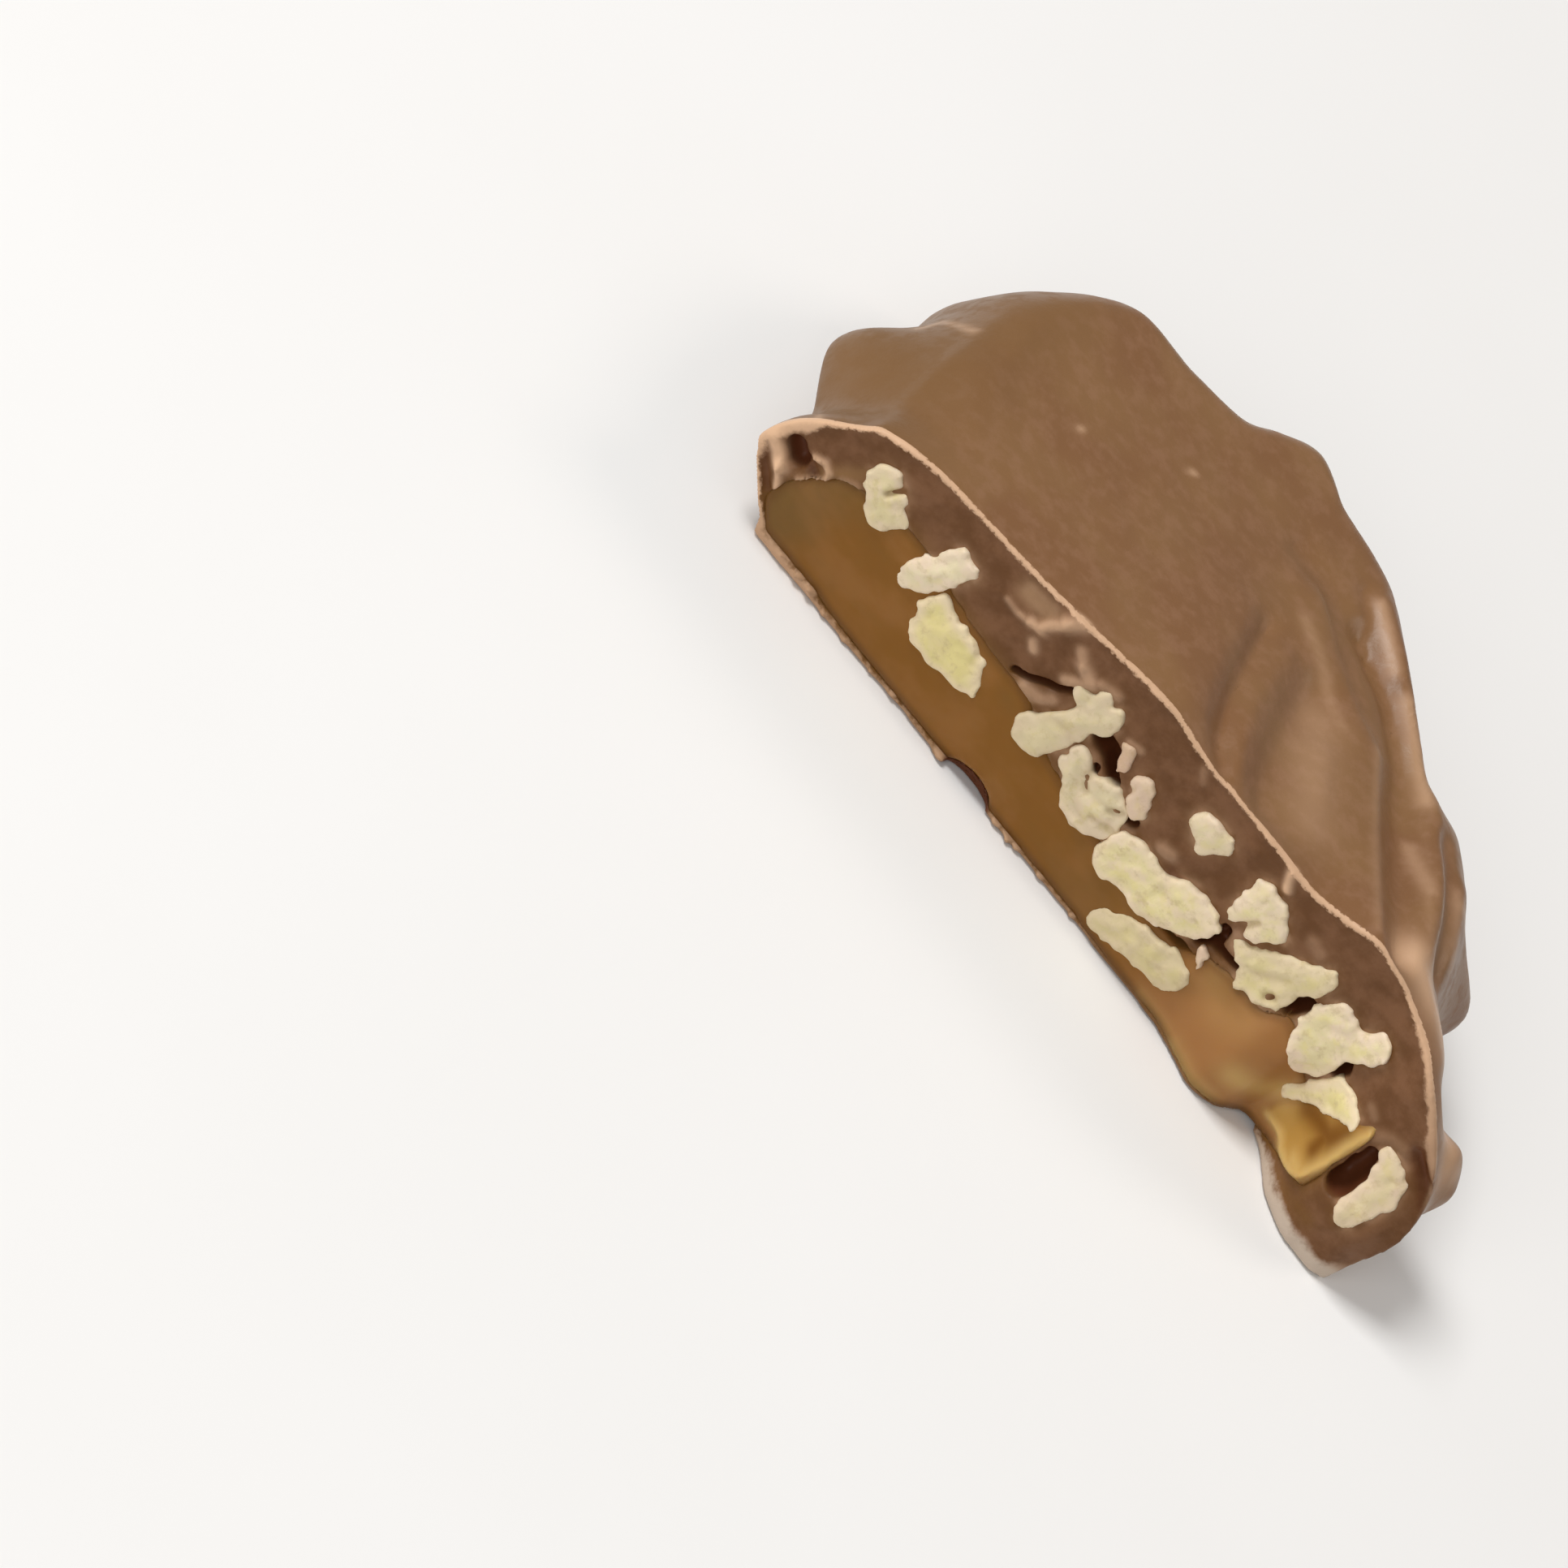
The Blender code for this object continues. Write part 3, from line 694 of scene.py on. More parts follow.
NUTS = (
    NutShape(
        "pecan_01",
        ((-26.9, 11.0), (-26.5, 12.0), (-25.6, 12.4), (-24.9, 12.1), (-24.2, 11.7), (-23.6, 11.0),
         (-22.8, 10.2), (-22.9, 9.4), (-23.5, 8.6), (-24.2, 8.1), (-25.0, 8.4), (-25.9, 9.2),
         (-26.7, 10.1)),
        2.6, 0.45, slits=(Streak(((-24.3, 12.3), (-24.8, 11.4), (-25.1, 10.8)), 0.2, -0.5),), dull=0.3,
    ),
    NutShape(
        "pecan_02",
        ((-20.8, 7.9), (-20.4, 7.1), (-19.8, 7.0), (-18.9, 7.6), (-18.2, 8.8), (-17.6, 10.2),
         (-17.2, 11.5), (-17.6, 12.2), (-18.5, 12.4), (-19.2, 12.5), (-19.6, 11.6), (-19.9, 10.5),
         (-20.5, 9.2)),
        2.8, 0.15,
    ),
    NutShape(
        "pecan_03",
        ((-17.9, 8.4), (-17.2, 9.0), (-16.0, 8.6), (-14.6, 8.5), (-13.0, 8.3), (-12.1, 7.6),
         (-11.7, 6.8), (-11.2, 5.9), (-11.6, 5.2), (-12.6, 4.8), (-13.6, 4.7), (-14.4, 4.3),
         (-15.4, 4.5), (-16.8, 4.9), (-17.4, 5.5), (-17.7, 6.6), (-18.1, 7.4)),
        3.6, 0.95, slits=(Streak(((-13.2, 8.4), (-12.9, 7.2)), 0.3, -0.1),),
    ),
    NutShape(
        "pecan_04",
        ((-8.2, 7.5), (-7.8, 6.5), (-7.0, 5.9), (-5.9, 6.0), (-5.3, 6.8), (-4.9, 8.4), (-4.7, 10.0),
         (-4.4, 11.2), (-3.9, 12.2), (-4.0, 13.3), (-4.7, 14.1), (-5.2, 13.6), (-5.9, 14.3),
         (-6.5, 13.8), (-6.5, 13.1), (-7.5, 13.0), (-7.6, 12.2), (-6.7, 11.8), (-6.5, 11.0),
         (-7.0, 10.0), (-7.7, 8.9)),
        2.6, 0.2, slits=(Streak(((-7.0, 9.2), (-6.0, 9.9), (-5.0, 9.8)), 0.4, -0.12),), dull=0.45,
    ),
    NutShape(
        "pecan_05",
        ((-4.4, 9.0), (-4.1, 9.8), (-3.3, 9.8), (-2.7, 9.1), (-2.2, 8.9), (-1.6, 9.4), (-0.8, 10.0),
         (0.2, 9.9), (0.9, 9.1), (1.4, 8.1), (1.6, 7.0), (1.2, 6.0), (0.3, 5.3), (-0.8, 5.1),
         (-1.9, 5.5), (-2.8, 6.2), (-3.7, 7.2), (-4.3, 8.1)),
        3.4, 0.1,
        slits=(
            Streak(((-2.5, 9.1), (-2.4, 8.6)), 0.3, -0.3),
            Streak(((-0.1, 6.9), (0.7, 7.2), (1.6, 7.4)), 0.3, -0.22),
            Streak(((-3.2, 8.6), (-2.3, 7.4), (-1.4, 6.4), (-0.2, 6.2)), 0.4, -0.13),
            Streak(((-1.2, 8.0), (0.4, 8.6)), 0.3, -0.12),
            Streak(((-2.1, 8.1), (-1.7, 7.8)), 0.26, -0.35),
            Streak(((0.9, 8.9), (0.2, 8.3)), 0.3, -0.3),
        ), dull=0.3,
    ),
    NutShape(
        "pecan_06",
        ((-0.4, 11.7), (0.1, 12.1), (0.8, 11.7), (1.4, 11.0), (2.0, 10.1), (1.7, 9.4), (1.1, 9.3),
         (0.5, 10.0), (0.0, 10.8)),
        1.8, 0.0, dust=0.35,
    ),
    NutShape(
        "pecan_07",
        ((3.7, 13.3), (4.2, 14.2), (5.3, 14.5), (6.4, 14.3), (7.0, 13.5), (6.5, 12.7), (5.8, 11.9),
         (5.0, 12.0), (4.3, 12.5)),
        2.0, 0.3, dull=0.2,
    ),
    NutShape(
        "pecan_08",
        ((1.7, 6.0), (1.8, 7.2), (2.4, 8.3), (3.4, 8.6), (4.6, 8.5), (5.6, 8.4), (6.2, 8.6), (6.8, 9.3),
         (7.6, 9.7), (8.8, 9.7), (10.1, 9.3), (10.9, 8.6), (10.6, 7.7), (9.7, 6.3), (8.4, 5.3),
         (7.4, 4.8), (6.2, 4.7), (5.1, 4.8), (4.1, 4.6), (3.0, 4.3), (2.2, 4.8)),
        3.8, 0.6,
        slits=(Streak(((6.2, 8.4), (6.7, 7.4)), 0.45, -0.08), Streak(((7.4, 5.0), (8.6, 5.8)), 0.3, -0.12)),
    ),
    NutShape(
        "pecan_09",
        ((5.1, 1.7), (5.5, 2.6), (6.5, 3.6), (8.0, 4.3), (9.9, 4.7), (11.6, 4.9), (12.5, 4.3),
         (12.7, 3.3), (12.0, 2.3), (10.3, 1.7), (8.6, 1.5), (7.2, 1.1), (5.9, 0.9)),
        3.4, 0.65, dull=0.5,
    ),
    NutShape(
        "pecan_10",
        ((9.8, 12.8), (9.8, 14.1), (10.5, 14.6), (11.4, 14.4), (12.6, 13.8), (13.6, 13.0), (14.0, 12.2),
         (13.4, 11.4), (12.8, 10.6), (12.2, 10.5), (11.6, 11.0), (11.3, 11.0), (10.8, 10.4),
         (10.3, 10.6), (10.0, 11.5)),
        2.4, 0.55, slits=(Streak(((11.4, 10.8), (11.9, 12.0)), 0.24, -0.35),),
    ),
    NutShape(
        "pecan_11",
        ((12.1, 9.0), (12.3, 9.7), (13.1, 10.0), (13.7, 10.9), (14.7, 11.5), (15.5, 12.4), (16.4, 13.1),
         (17.2, 14.0), (17.8, 13.7), (18.1, 12.7), (18.0, 11.5), (17.4, 10.5), (17.4, 9.3), (17.2, 8.3),
         (16.3, 7.4), (15.4, 7.4), (14.7, 6.9), (14.1, 7.3), (13.8, 8.3), (13.0, 8.7)),
        3.2, 0.7, dull=0.3,
        slits=(
            Streak(((16.3, 8.5), (16.5, 8.9)), 0.3, -0.4), Streak(((14.4, 9.0), (16.2, 10.8)), 0.3, -0.14),
        ),
    ),
    NutShape(
        "pecan_12",
        ((18.6, 9.8), (18.8, 11.7), (19.5, 12.8), (20.5, 13.0), (21.5, 12.7), (22.2, 13.3),
         (23.0, 13.8), (23.8, 13.2), (24.0, 12.2), (23.4, 11.0), (22.5, 10.2), (22.8, 9.1), (22.6, 7.8),
         (21.5, 6.6), (20.3, 6.8), (19.3, 8.2)),
        3.6, 0.45, slits=(Streak(((21.6, 12.7), (21.9, 11.4)), 0.4, -0.06),),
    ),
    NutShape(
        "pecan_13",
        ((21.9, 4.9), (22.2, 5.8), (22.8, 7.0), (23.2, 8.2), (24.0, 8.9), (25.2, 8.6), (26.2, 8.0),
         (26.9, 7.3), (26.2, 6.7), (25.3, 6.2), (24.2, 5.9), (23.3, 5.2), (22.6, 4.4)),
        2.2, 0.85, proud=0.25,
    ),
    NutShape(
        "pecan_14",
        ((29.0, 7.9), (29.4, 8.3), (30.2, 8.3), (31.2, 7.7), (32.0, 6.6), (32.3, 5.2), (32.2, 3.4),
         (31.9, 1.7), (31.2, 0.9), (30.6, 1.1), (30.3, 2.2), (30.2, 3.8), (29.9, 5.4), (29.3, 6.8)),
        2.8, 0.35, proud=0.2, dull=0.2, dust=0.15,
    ),
)

CRUMBS = (
    NutShape(
        "crumb_a", ((-2.6, 12.5), (-2.2, 12.9), (-1.6, 12.3), (-1.4, 11.4), (-1.7, 10.9), (-2.1, 11.6)),
        0.9, 0.0, dust=0.6,
    ),
    NutShape(
        "crumb_b", ((11.1, 7.0), (11.6, 7.2), (12.1, 6.3), (12.2, 5.7), (11.6, 6.0)), 0.9, 0.1, dust=0.4,
    ),
)

PITS = (
    Pit(((-10.9, 9.4), (-9.9, 9.9), (-9.0, 10.7), (-8.2, 11.2), (-7.6, 12.0)), 0.30, 1.6),
    Pit(((-3.9, 11.4), (-2.9, 11.2)), 0.78, 2.4),
    Pit(((-2.9, 11.1), (-2.0, 10.4), (-1.2, 9.9)), 0.52, 2.2),
    Pit(((-2.6, 9.6), (-2.4, 9.0)), 0.26, 1.2),
    Pit(((1.5, 8.8), (1.8, 8.9)), 0.48, 1.6),
    Pit(((11.1, 9.3), (11.4, 8.1), (10.6, 6.9)), 0.42, 2.0),
    Pit(((11.6, 7.8), (12.6, 7.8), (13.6, 8.0)), 0.36, 1.7),
    Pit(((9.1, 5.1), (10.2, 5.5), (11.6, 5.4)), 0.36, 1.9),
    Pit(((17.8, 9.3), (18.3, 10.6)), 0.58, 2.2),
    Pit(((22.8, 10.1), (23.2, 9.5), (23.0, 8.7)), 0.46, 1.9),
    Pit(((28.8, 6.6), (29.0, 5.6)), 0.55, 2.4),
    Pit(((29.1, 5.2), (29.2, 4.2), (29.2, 2.9)), 0.92, 2.6),
    Pit(((-31.2, 7.4), (-30.4, 6.8)), 0.72, 1.3),
)

# Flakes with a negative pale are furrows with painted shade, such as the groove under the bump at the right
# end
FLAKES = (
    Streak(((-32.5, 6.5), (-31.5, 6.0), (-30.7, 5.3)), 0.5, 0.4, 1.0),
    Streak(((-30.9, 5.5), (-30.2, 4.6), (-29.7, 3.9)), 0.28, 0.4, 0.95),
    Streak(((-32.1, 5.0), (-31.0, 4.0), (-30.0, 3.1)), 0.3, -0.3, -0.35),
    Streak(
        ((-29.8, 8.0), (-29.1, 8.4), (-28.4, 8.1), (-28.2, 7.5), (-28.7, 6.6), (-29.3, 5.8)),
        0.26, 0.4, 0.62,
    ),
    Streak(((-29.9, 7.4), (-29.1, 7.1)), 0.4, -0.4, -0.5),
    Streak(((-27.4, 8.4), (-26.7, 8.9)), 0.45, 0.15, 0.3),
    Streak(((-28.6, 7.4), (-27.6, 9.2), (-26.6, 10.4)), 0.6, 0.0, 0.1, 0.9),
    Streak(((-10.8, 16.2), (-11.3, 15.3)), 0.6, 0.35, 0.62),
    Streak(((-11.3, 15.2), (-11.9, 14.2), (-12.1, 13.5)), 0.46, 0.35, 0.6),
    Streak(((-11.9, 13.4), (-12.8, 13.1)), 0.42, 0.3, 0.6),
    Streak(((-12.9, 13.0), (-13.8, 12.7), (-14.9, 12.8)), 0.24, 0.2, 0.38),
    Streak(((-14.4, 14.4), (-12.6, 14.7)), 0.8, -0.15, 0.3, 0.8),
    Streak(((-11.7, 12.2), (-11.3, 11.8)), 0.34, 0.25, 0.55),
    Streak(((-9.3, 14.7), (-8.5, 14.2)), 0.42, 0.25, 0.4),
    Streak(((-8.5, 14.1), (-7.2, 13.6)), 0.5, 0.3, 0.55),
    Streak(((-7.6, 13.2), (-8.4, 12.2)), 0.42, 0.25, 0.5),
    Streak(((-6.8, 14.2), (-5.6, 14.6)), 0.4, 0.2, 0.35),
    Streak(((-9.0, 8.9), (-7.9, 10.3)), 0.45, 0.15, 0.35),
    Streak(((-9.7, 9.2), (-8.5, 9.7)), 0.45, 0.2, 0.4),
    Streak(((10.4, 16.4), (10.7, 15.9), (11.1, 15.3)), 0.34, 0.35, 0.9),
    Streak(((1.6, 16.2), (2.2, 15.5)), 0.3, 0.12, 0.16),
    Streak(((4.3, 9.6), (5.0, 9.8)), 0.5, 0.25, 0.32),
    Streak(((6.0, 8.9), (6.5, 8.9)), 0.4, -0.2, -0.5),
    Streak(((-2.6, 12.9), (-1.8, 13.2)), 0.3, 0.15, 0.3),
    Streak(((11.8, 9.9), (12.6, 9.2)), 0.4, 0.15, 0.3),
    Streak(((15.0, 14.2), (15.8, 14.0)), 0.5, 0.15, 0.18),
    Streak(((26.2, 9.2), (26.8, 8.9)), 0.35, 0.1, 0.16),
    Streak(((27.6, 7.8), (28.6, 8.8), (30.0, 9.2)), 0.45, 0.15, 0.16),
    Streak(((30.4, 9.6), (32.3, 8.5), (34.4, 6.9)), 0.5, -0.7, -0.9),
    Streak(((24.5, 0.2), (27.0, -0.6), (30.0, -0.9)), 0.8, 0.0, 0.0, 0.5),
)


@dataclass(frozen=True)
class Tuft:
    """A crumb of chocolate that stands out below the caramel, at a place as it is seen."""

    seen: Place
    size: float

    def place(self) -> Place:
        """Its middle on the cut, in X and Z, high enough to clear the foot."""
        ((x, z),) = SIGHT.on_cut([self.seen])
        return x, max(z, self.size + 0.05)


TUFTS = (
    Tuft((-27.6, 1.1), 0.34), Tuft((-25.7, 1.1), 0.38), Tuft((-24.2, 0.7), 0.3),
    Tuft((-23.0, 0.6), 0.36), Tuft((-21.4, 0.3), 0.2), Tuft((-19.1, 0.25), 0.18),
    Tuft((-16.4, 0.2), 0.16), Tuft((-14.3, 0.35), 0.24), Tuft((-9.4, 0.5), 0.38),
    Tuft((-9.0, 0.2), 0.3), Tuft((-3.4, 0.3), 0.34), Tuft((-2.2, 0.4), 0.4), Tuft((-1.3, 0.2), 0.3),
    Tuft((1.2, 0.25), 0.24), Tuft((4.6, 0.2), 0.2), Tuft((15.9, 0.7), 0.2), Tuft((21.3, 0.8), 0.22),
)


@dataclass(frozen=True)
class PaleSpeckAndHighlight:
    """A pale mark on the skin, along a path in space, or as seen from above if it has no heights; most are
    painted highlights, a few small specks.
    """

    path: Sequence[tuple[float, ...]]
    width: float
    pale: float

    def share(self, x: Array, y: Array, z: Array) -> Array:
        """How pale it makes each place.

        Args:
            x: Places along X.
            y: Places along Y.
            z: Places along Z.

        Returns:
            The share of the pale colour.
        """
        best = np.full(np.shape(x), np.inf)
        for start, end in zip(self.path, self.path[1:]):
            run = np.subtract(end, start)
            offset = np.stack([along - at for along, at in zip((x, y, z), start)], axis=-1)
            part = np.clip(offset @ run / (run @ run), 0.0, 1.0)
            best = np.minimum(best, np.linalg.norm(offset - part[..., None] * run, axis=-1))
        return self.pale * bell(best, self.width)


# Two small pale specks on the top; the rest are painted highlights along ridges, rims and the right flank
SPECKS_AND_HIGHLIGHTS = (
    PaleSpeckAndHighlight(((-31.9, 0.4, 10.0), (-32.4, 2.4, 9.4), (-32.4, 5.0, 8.6)), 0.35, 0.6),
    PaleSpeckAndHighlight(((-19.8, 14.4, 15.3), (-19.6, 14.8, 15.3)), 0.3, 0.45),
    PaleSpeckAndHighlight(((-12.5, 21.0, 15.3), (-12.2, 21.3, 15.3)), 0.3, 0.45),
    PaleSpeckAndHighlight(((9.1, 23.7, 15.4), (10.7, 22.2, 15.4), (12.4, 20.3, 15.3), (14.1, 17.3, 16.0)), 0.8, 0.45),
    PaleSpeckAndHighlight(((20.5, 12.5, 16.1), (22.0, 14.7, 14.0)), 0.8, 0.35),
    PaleSpeckAndHighlight(((-31.5, 14.9, 9.9), (-30.7, 16.8, 10.3), (-29.1, 15.0, 13.3)), 0.4, 0.4),
    PaleSpeckAndHighlight(((0.0, 19.5), (3.2, 17.6), (6.5, 15.0)), 0.6, 0.2),
    PaleSpeckAndHighlight(((5.0, 14.0), (6.8, 9.5), (9.0, 5.0)), 2.0, 0.22),
    PaleSpeckAndHighlight(((15.4, 12.6), (18.0, 9.0)), 0.5, 0.3),
    PaleSpeckAndHighlight(((20.0, 13.0), (22.8, 9.4)), 0.7, 0.25),
    PaleSpeckAndHighlight(
        ((20.0, 3.0, 17.5), (22.5, 2.8, 17.0), (26.0, 2.2, 15.2), (29.0, 1.2, 13.0), (31.8, 0.2, 10.6)),
        1.9, 0.72,
    ),
    PaleSpeckAndHighlight(((29.6, 0.2, 11.6), (31.4, 0.8, 11.2), (33.2, 1.0, 10.4)), 1.3, 0.5),
    PaleSpeckAndHighlight(((3.2, 28.2, 15.5), (4.8, 26.8, 15.4), (6.9, 25.0, 15.2)), 0.6, 0.4),
    PaleSpeckAndHighlight(((9.4, 16.0, 16.4), (12.1, 10.5, 17.0), (14.8, 4.9, 17.8), (16.6, 1.2, 18.3)), 0.45, 0.16),
    PaleSpeckAndHighlight(((14.7, 15.2, 16.4), (17.5, 9.6, 17.4), (20.3, 5.0, 17.4)), 0.4, 0.18),
)


@dataclass
class CutFace:
    """Maps of what shows on the cut, over X and Z: its place, its relief, its burr and its colours."""

    step: float = 0.1
    low: Place = (-37.0, -1.0)
    high: Place = (37.0, 20.0)
    seed: int = 11
    lip: float = 0.2
    nut_reach: float = 3.0
    top_width: Knots = ((-40, 0.4), (-28, 0.32), (-24, 0.26), (18, 0.27), (24, 0.42), (29, 0.75), (40, 0.9))
    foot_width: Knots = (
        (-40, 0.5), (-28.8, 0.75), (-23, 0.8), (-22, 0.45), (-10, 0.36), (20, 0.3), (23, 0.35),
        (26.5, 1.25), (40, 1.6),
    )
    top_share: Knots = ((-40, 1.0), (-28, 0.95), (-24, 0.85), (22, 0.84), (29, 0.6), (31, 0.5), (40, 0.4))
    foot_share: Knots = (
        (-40, 0.9), (-28, 0.68), (-22.8, 0.66), (-21.6, 0.5), (-10, 0.4), (4, 0.3), (9, 0.06), (22, 0.1),
        (24.5, 0.7), (40, 0.9),
    )
    # How far the burr along the foot is whitened, as a painted reflection of the pale floor
    foot_floor_glare: Knots = ((-40, 0.0), (-22, 0.0), (22, 0.3), (25, 1.0), (40, 1.0))
    maps: dict[str, Array] = field(default_factory=dict)

    def __post_init__(self) -> None:
        """Work out every map."""
        x = np.arange(self.low[0], self.high[0] + self.step, self.step)[:, None]
        z = np.arange(self.low[1], self.high[1] + self.step, self.step)[None, :]
        place = FORM.cut(x, z)
        # Every edge is ragged by noise of 0.9 and 0.35 mm
        rough = Grain(self.seed)
        rag = rough.at(x, 0, z, 0.9) * 0.6 + rough.at(x, 9, z, 0.35) * 0.4
        # How far each place lies inside the outline, measured just behind the cut
        inside = -FORM.outside(x, place + 0.05, z)
        burr_width, burr_share, floor_glare = self.edge(x, z, rag)
        # The burr stands up as a lip, over waves of 2.6 mm and grain of 0.8 mm
        relief = self.lip * (1 - smooth_step(0.6, 1.4, np.maximum(inside, 0) / burr_width)) * burr_share
        relief = relief + 0.10 * rough.at(x, 3, z, 2.6) + 0.05 * rough.at(x, 5, z, 0.8)
        pale, furrow_shade, stained = np.zeros((3, *place.shape))
        # A furrow's negative pale becomes painted shade
        for flake in FLAKES:
            shape = flake.shape(x, z) * (1 + 0.25 * rag)
            strong = np.clip(shape * 1.3, 0, 1)
            relief = relief + flake.rise * shape
            pale = np.maximum(pale, flake.pale * strong)
            furrow_shade = np.maximum(furrow_shade, -flake.pale * strong)
            stained = np.maximum(stained, flake.stain * shape)
        nuts = np.full(place.shape, FAR)
        for nut in NUTS:
            curve = nut.curve()
            left, right = curve[:, 0].min() - self.nut_reach, curve[:, 0].max() + self.nut_reach
            near = (x[:, 0] > left) & (x[:, 0] < right)
            nuts[near] = np.minimum(nuts[near], outline_distance(curve, x[near], z))
        # Each nut piece stands in a fine furrow, with pale crumbs round it and a trace of its oil
        relief = relief - 0.05 * bell(nuts - 0.05, 0.25)
        crumbs = np.exp(-np.maximum(nuts - 0.1, 0) / 0.3) * np.clip(0.6 + 1.2 * rag, 0, 1)
        pale = np.maximum(pale, 0.3 * crumbs)
        caramel = FORM.caramel(x, place + 0.3, z)
        oil = 0.45 * np.exp(-np.maximum(nuts, 0) / 0.4)
        stain = np.maximum.reduce([np.exp(-np.maximum(caramel, 0) / 0.55), oil, stained])
        self.maps = {
            "place": place,
            "relief": relief,
            "pale": np.clip(pale * (1 + 0.18 * rag), 0, 1),
            "stain": stain * (1 - 0.6 * pale),
            "inset": np.clip(inside, 0.0, 4.0),
            "furrow_shade": furrow_shade,
            "burr_width": burr_width,
            "burr_share": burr_share,
            "floor_glare": floor_glare,
        }

    def edge(self, x: Array, z: Array, rag: Array) -> tuple[Array, Array, Array]:
        """The pale burr that the knife left along the outline.

        Args:
            x: Places along X.
            z: Places along Z.
            rag: Noise that makes it uneven.

        Returns:
            Its width in millimetres, how strong it is, and how far a painted reflection of the pale floor
            whitens it.
        """
        foot = 1 - smooth_step(1.0, 2.6, z)
        # It is wider at the left end, halfway up, and weaker at the right end below the top
        left_end = smooth_step(4.0, 5.6, z) * (1 - smooth_step(9.0, 11.0, z))
        left_end = left_end * (1 - smooth_step(-31.5, -30.5, x))
        right_end = smooth_step(28.5, 30.5, x) * (1 - smooth_step(9.5, 12.5, z))
        above = through(self.top_width, x) + 0.5 * left_end
        width = (above * (1 - foot) + through(self.foot_width, x) * foot) * (1 + 0.4 * rag)
        share = through(self.top_share, x) * (1 - right_end) * (1 - foot)
        share = share + through(self.foot_share, x) * foot
        return width, share, foot * through(self.foot_floor_glare, x)

    def read(self, name: str, x: Array, z: Array) -> Array:
        """Read a map between its points.

        Args:
            name: The map's name.
            x: Places along X.
            z: Places along Z.

        Returns:
            The amounts there.
        """
        layer = self.maps[name]
        # Places stay just short of the last point, so that there is always a next one
        across = np.clip((x - self.low[0]) / self.step, 0, layer.shape[0] - 1.001)
        up = np.clip((z - self.low[1]) / self.step, 0, layer.shape[1] - 1.001)
        i, k = across.astype(int), up.astype(int)
        a, b = across - i, up - k
        low = layer[i, k] * (1 - b) + layer[i, k + 1] * b
        high = layer[i + 1, k] * (1 - b) + layer[i + 1, k + 1] * b
        return low * (1 - a) + high * a

    def front(self, x: Array, z: Array) -> Array:
        """Where the cut's own surface stands in Y, with its relief."""
        return self.read("place", x, z) - self.read("relief", x, z)


@dataclass(frozen=True)
class Scoop:
    """A rounded hollow where a bit broke out of the foot of the cut."""

    middle: tuple[float, float, float]
    radii: tuple[float, float, float]
    reach: float

    def form(self, x: Array, y: Array, z: Array, wall: float = 0.0) -> Array:
        """Distance from the hollow, below 0 in it.

        Args:
            x: Places along X.
            y: Places along Y.
            z: Places along Z.
            wall: How much larger than the hollow the form is, for what lies behind it.

        Returns:
            The distance at each place.
        """
        across, deep, tall = (
            ((at - middle) / (radius + wall)) ** 2
            for at, middle, radius in zip((x, y, z), self.middle, self.radii)
        )
        return (np.sqrt(across + deep + tall) - 1) * (self.reach + wall)


CHIP = Scoop((-6.6, 0.0, 0.0), (2.1, 0.9, 1.25), 0.9)
NOTCH = Scoop((22.4, 0.4, 0.0), (0.9, 1.6, 0.75), 0.8)
# How thick the chocolate behind the chip is, in millimetres; the caramel starts halfway into it
CHIP_WALL = 0.3


def pits(face: CutFace, x: Array, y: Array, z: Array) -> Array:
    """Distance from the cracks and holes, below 0 in them.

    Args:
        face: The cut.
        x: Places along X.
        y: Places along Y.
        z: Places along Z.

    Returns:
        The distance at each place.
    """
    from_front = y - face.read("place", *np.broadcast_arrays(x, z))
    total = np.full(np.broadcast(x, y, z).shape, FAR)
    for pit in PITS:
        away = path_distance(SIGHT.on_cut(pit.path), x, z) / pit.width
        deep = np.maximum(from_front, 0.0) / pit.depth
        total = np.minimum(total, (np.hypot(away, deep) - 1) * pit.width)
    return np.minimum(total, np.minimum(CHIP.form(x, y, z), NOTCH.form(x, y, z)))


def to_linear(code: str) -> tuple[float, float, float, float]:
    """Turn an sRGB hex colour, of six digits after a hash, into linear red, green and blue, and 1."""
    shares = [int(code[k : k + 2], 16) / 255 for k in (1, 3, 5)]
    return (*[v / 12.92 if v <= 0.04045 else ((v + 0.055) / 1.055) ** 2.4 for v in shares], 1.0)


def add_node(
    tree: bpy.types.NodeTree, kind: str, settings: dict[str, str] | None = None, out: int | str = 0,
    **inputs: Any,
) -> bpy.types.NodeSocket:
    """Add a node with its settings and links.

    Args:
        tree: The material's tree.
        kind: The node's type, as it reads after ShaderNode.
        settings: Properties to set on it.
        out: Which of its outputs is wanted.
        **inputs: Sockets by name, with _ for a space, or as n and a number: a value, or an output to link.

    Returns:
        That output.
    """
    node = tree.nodes.new("ShaderNode" + kind)
    for name, value in (settings or {}).items():
        setattr(node, name, value)
    for name, value in inputs.items():
        socket = node.inputs[int(name[1:])] if name[1:].isdigit() else node.inputs[name.replace("_", " ")]
        if isinstance(value, bpy.types.NodeSocket):
            tree.links.new(value, socket)
        else:
            socket.default_value = value
    return node.outputs[out]


SMOOTH = {"interpolation_type": "SMOOTHSTEP"}


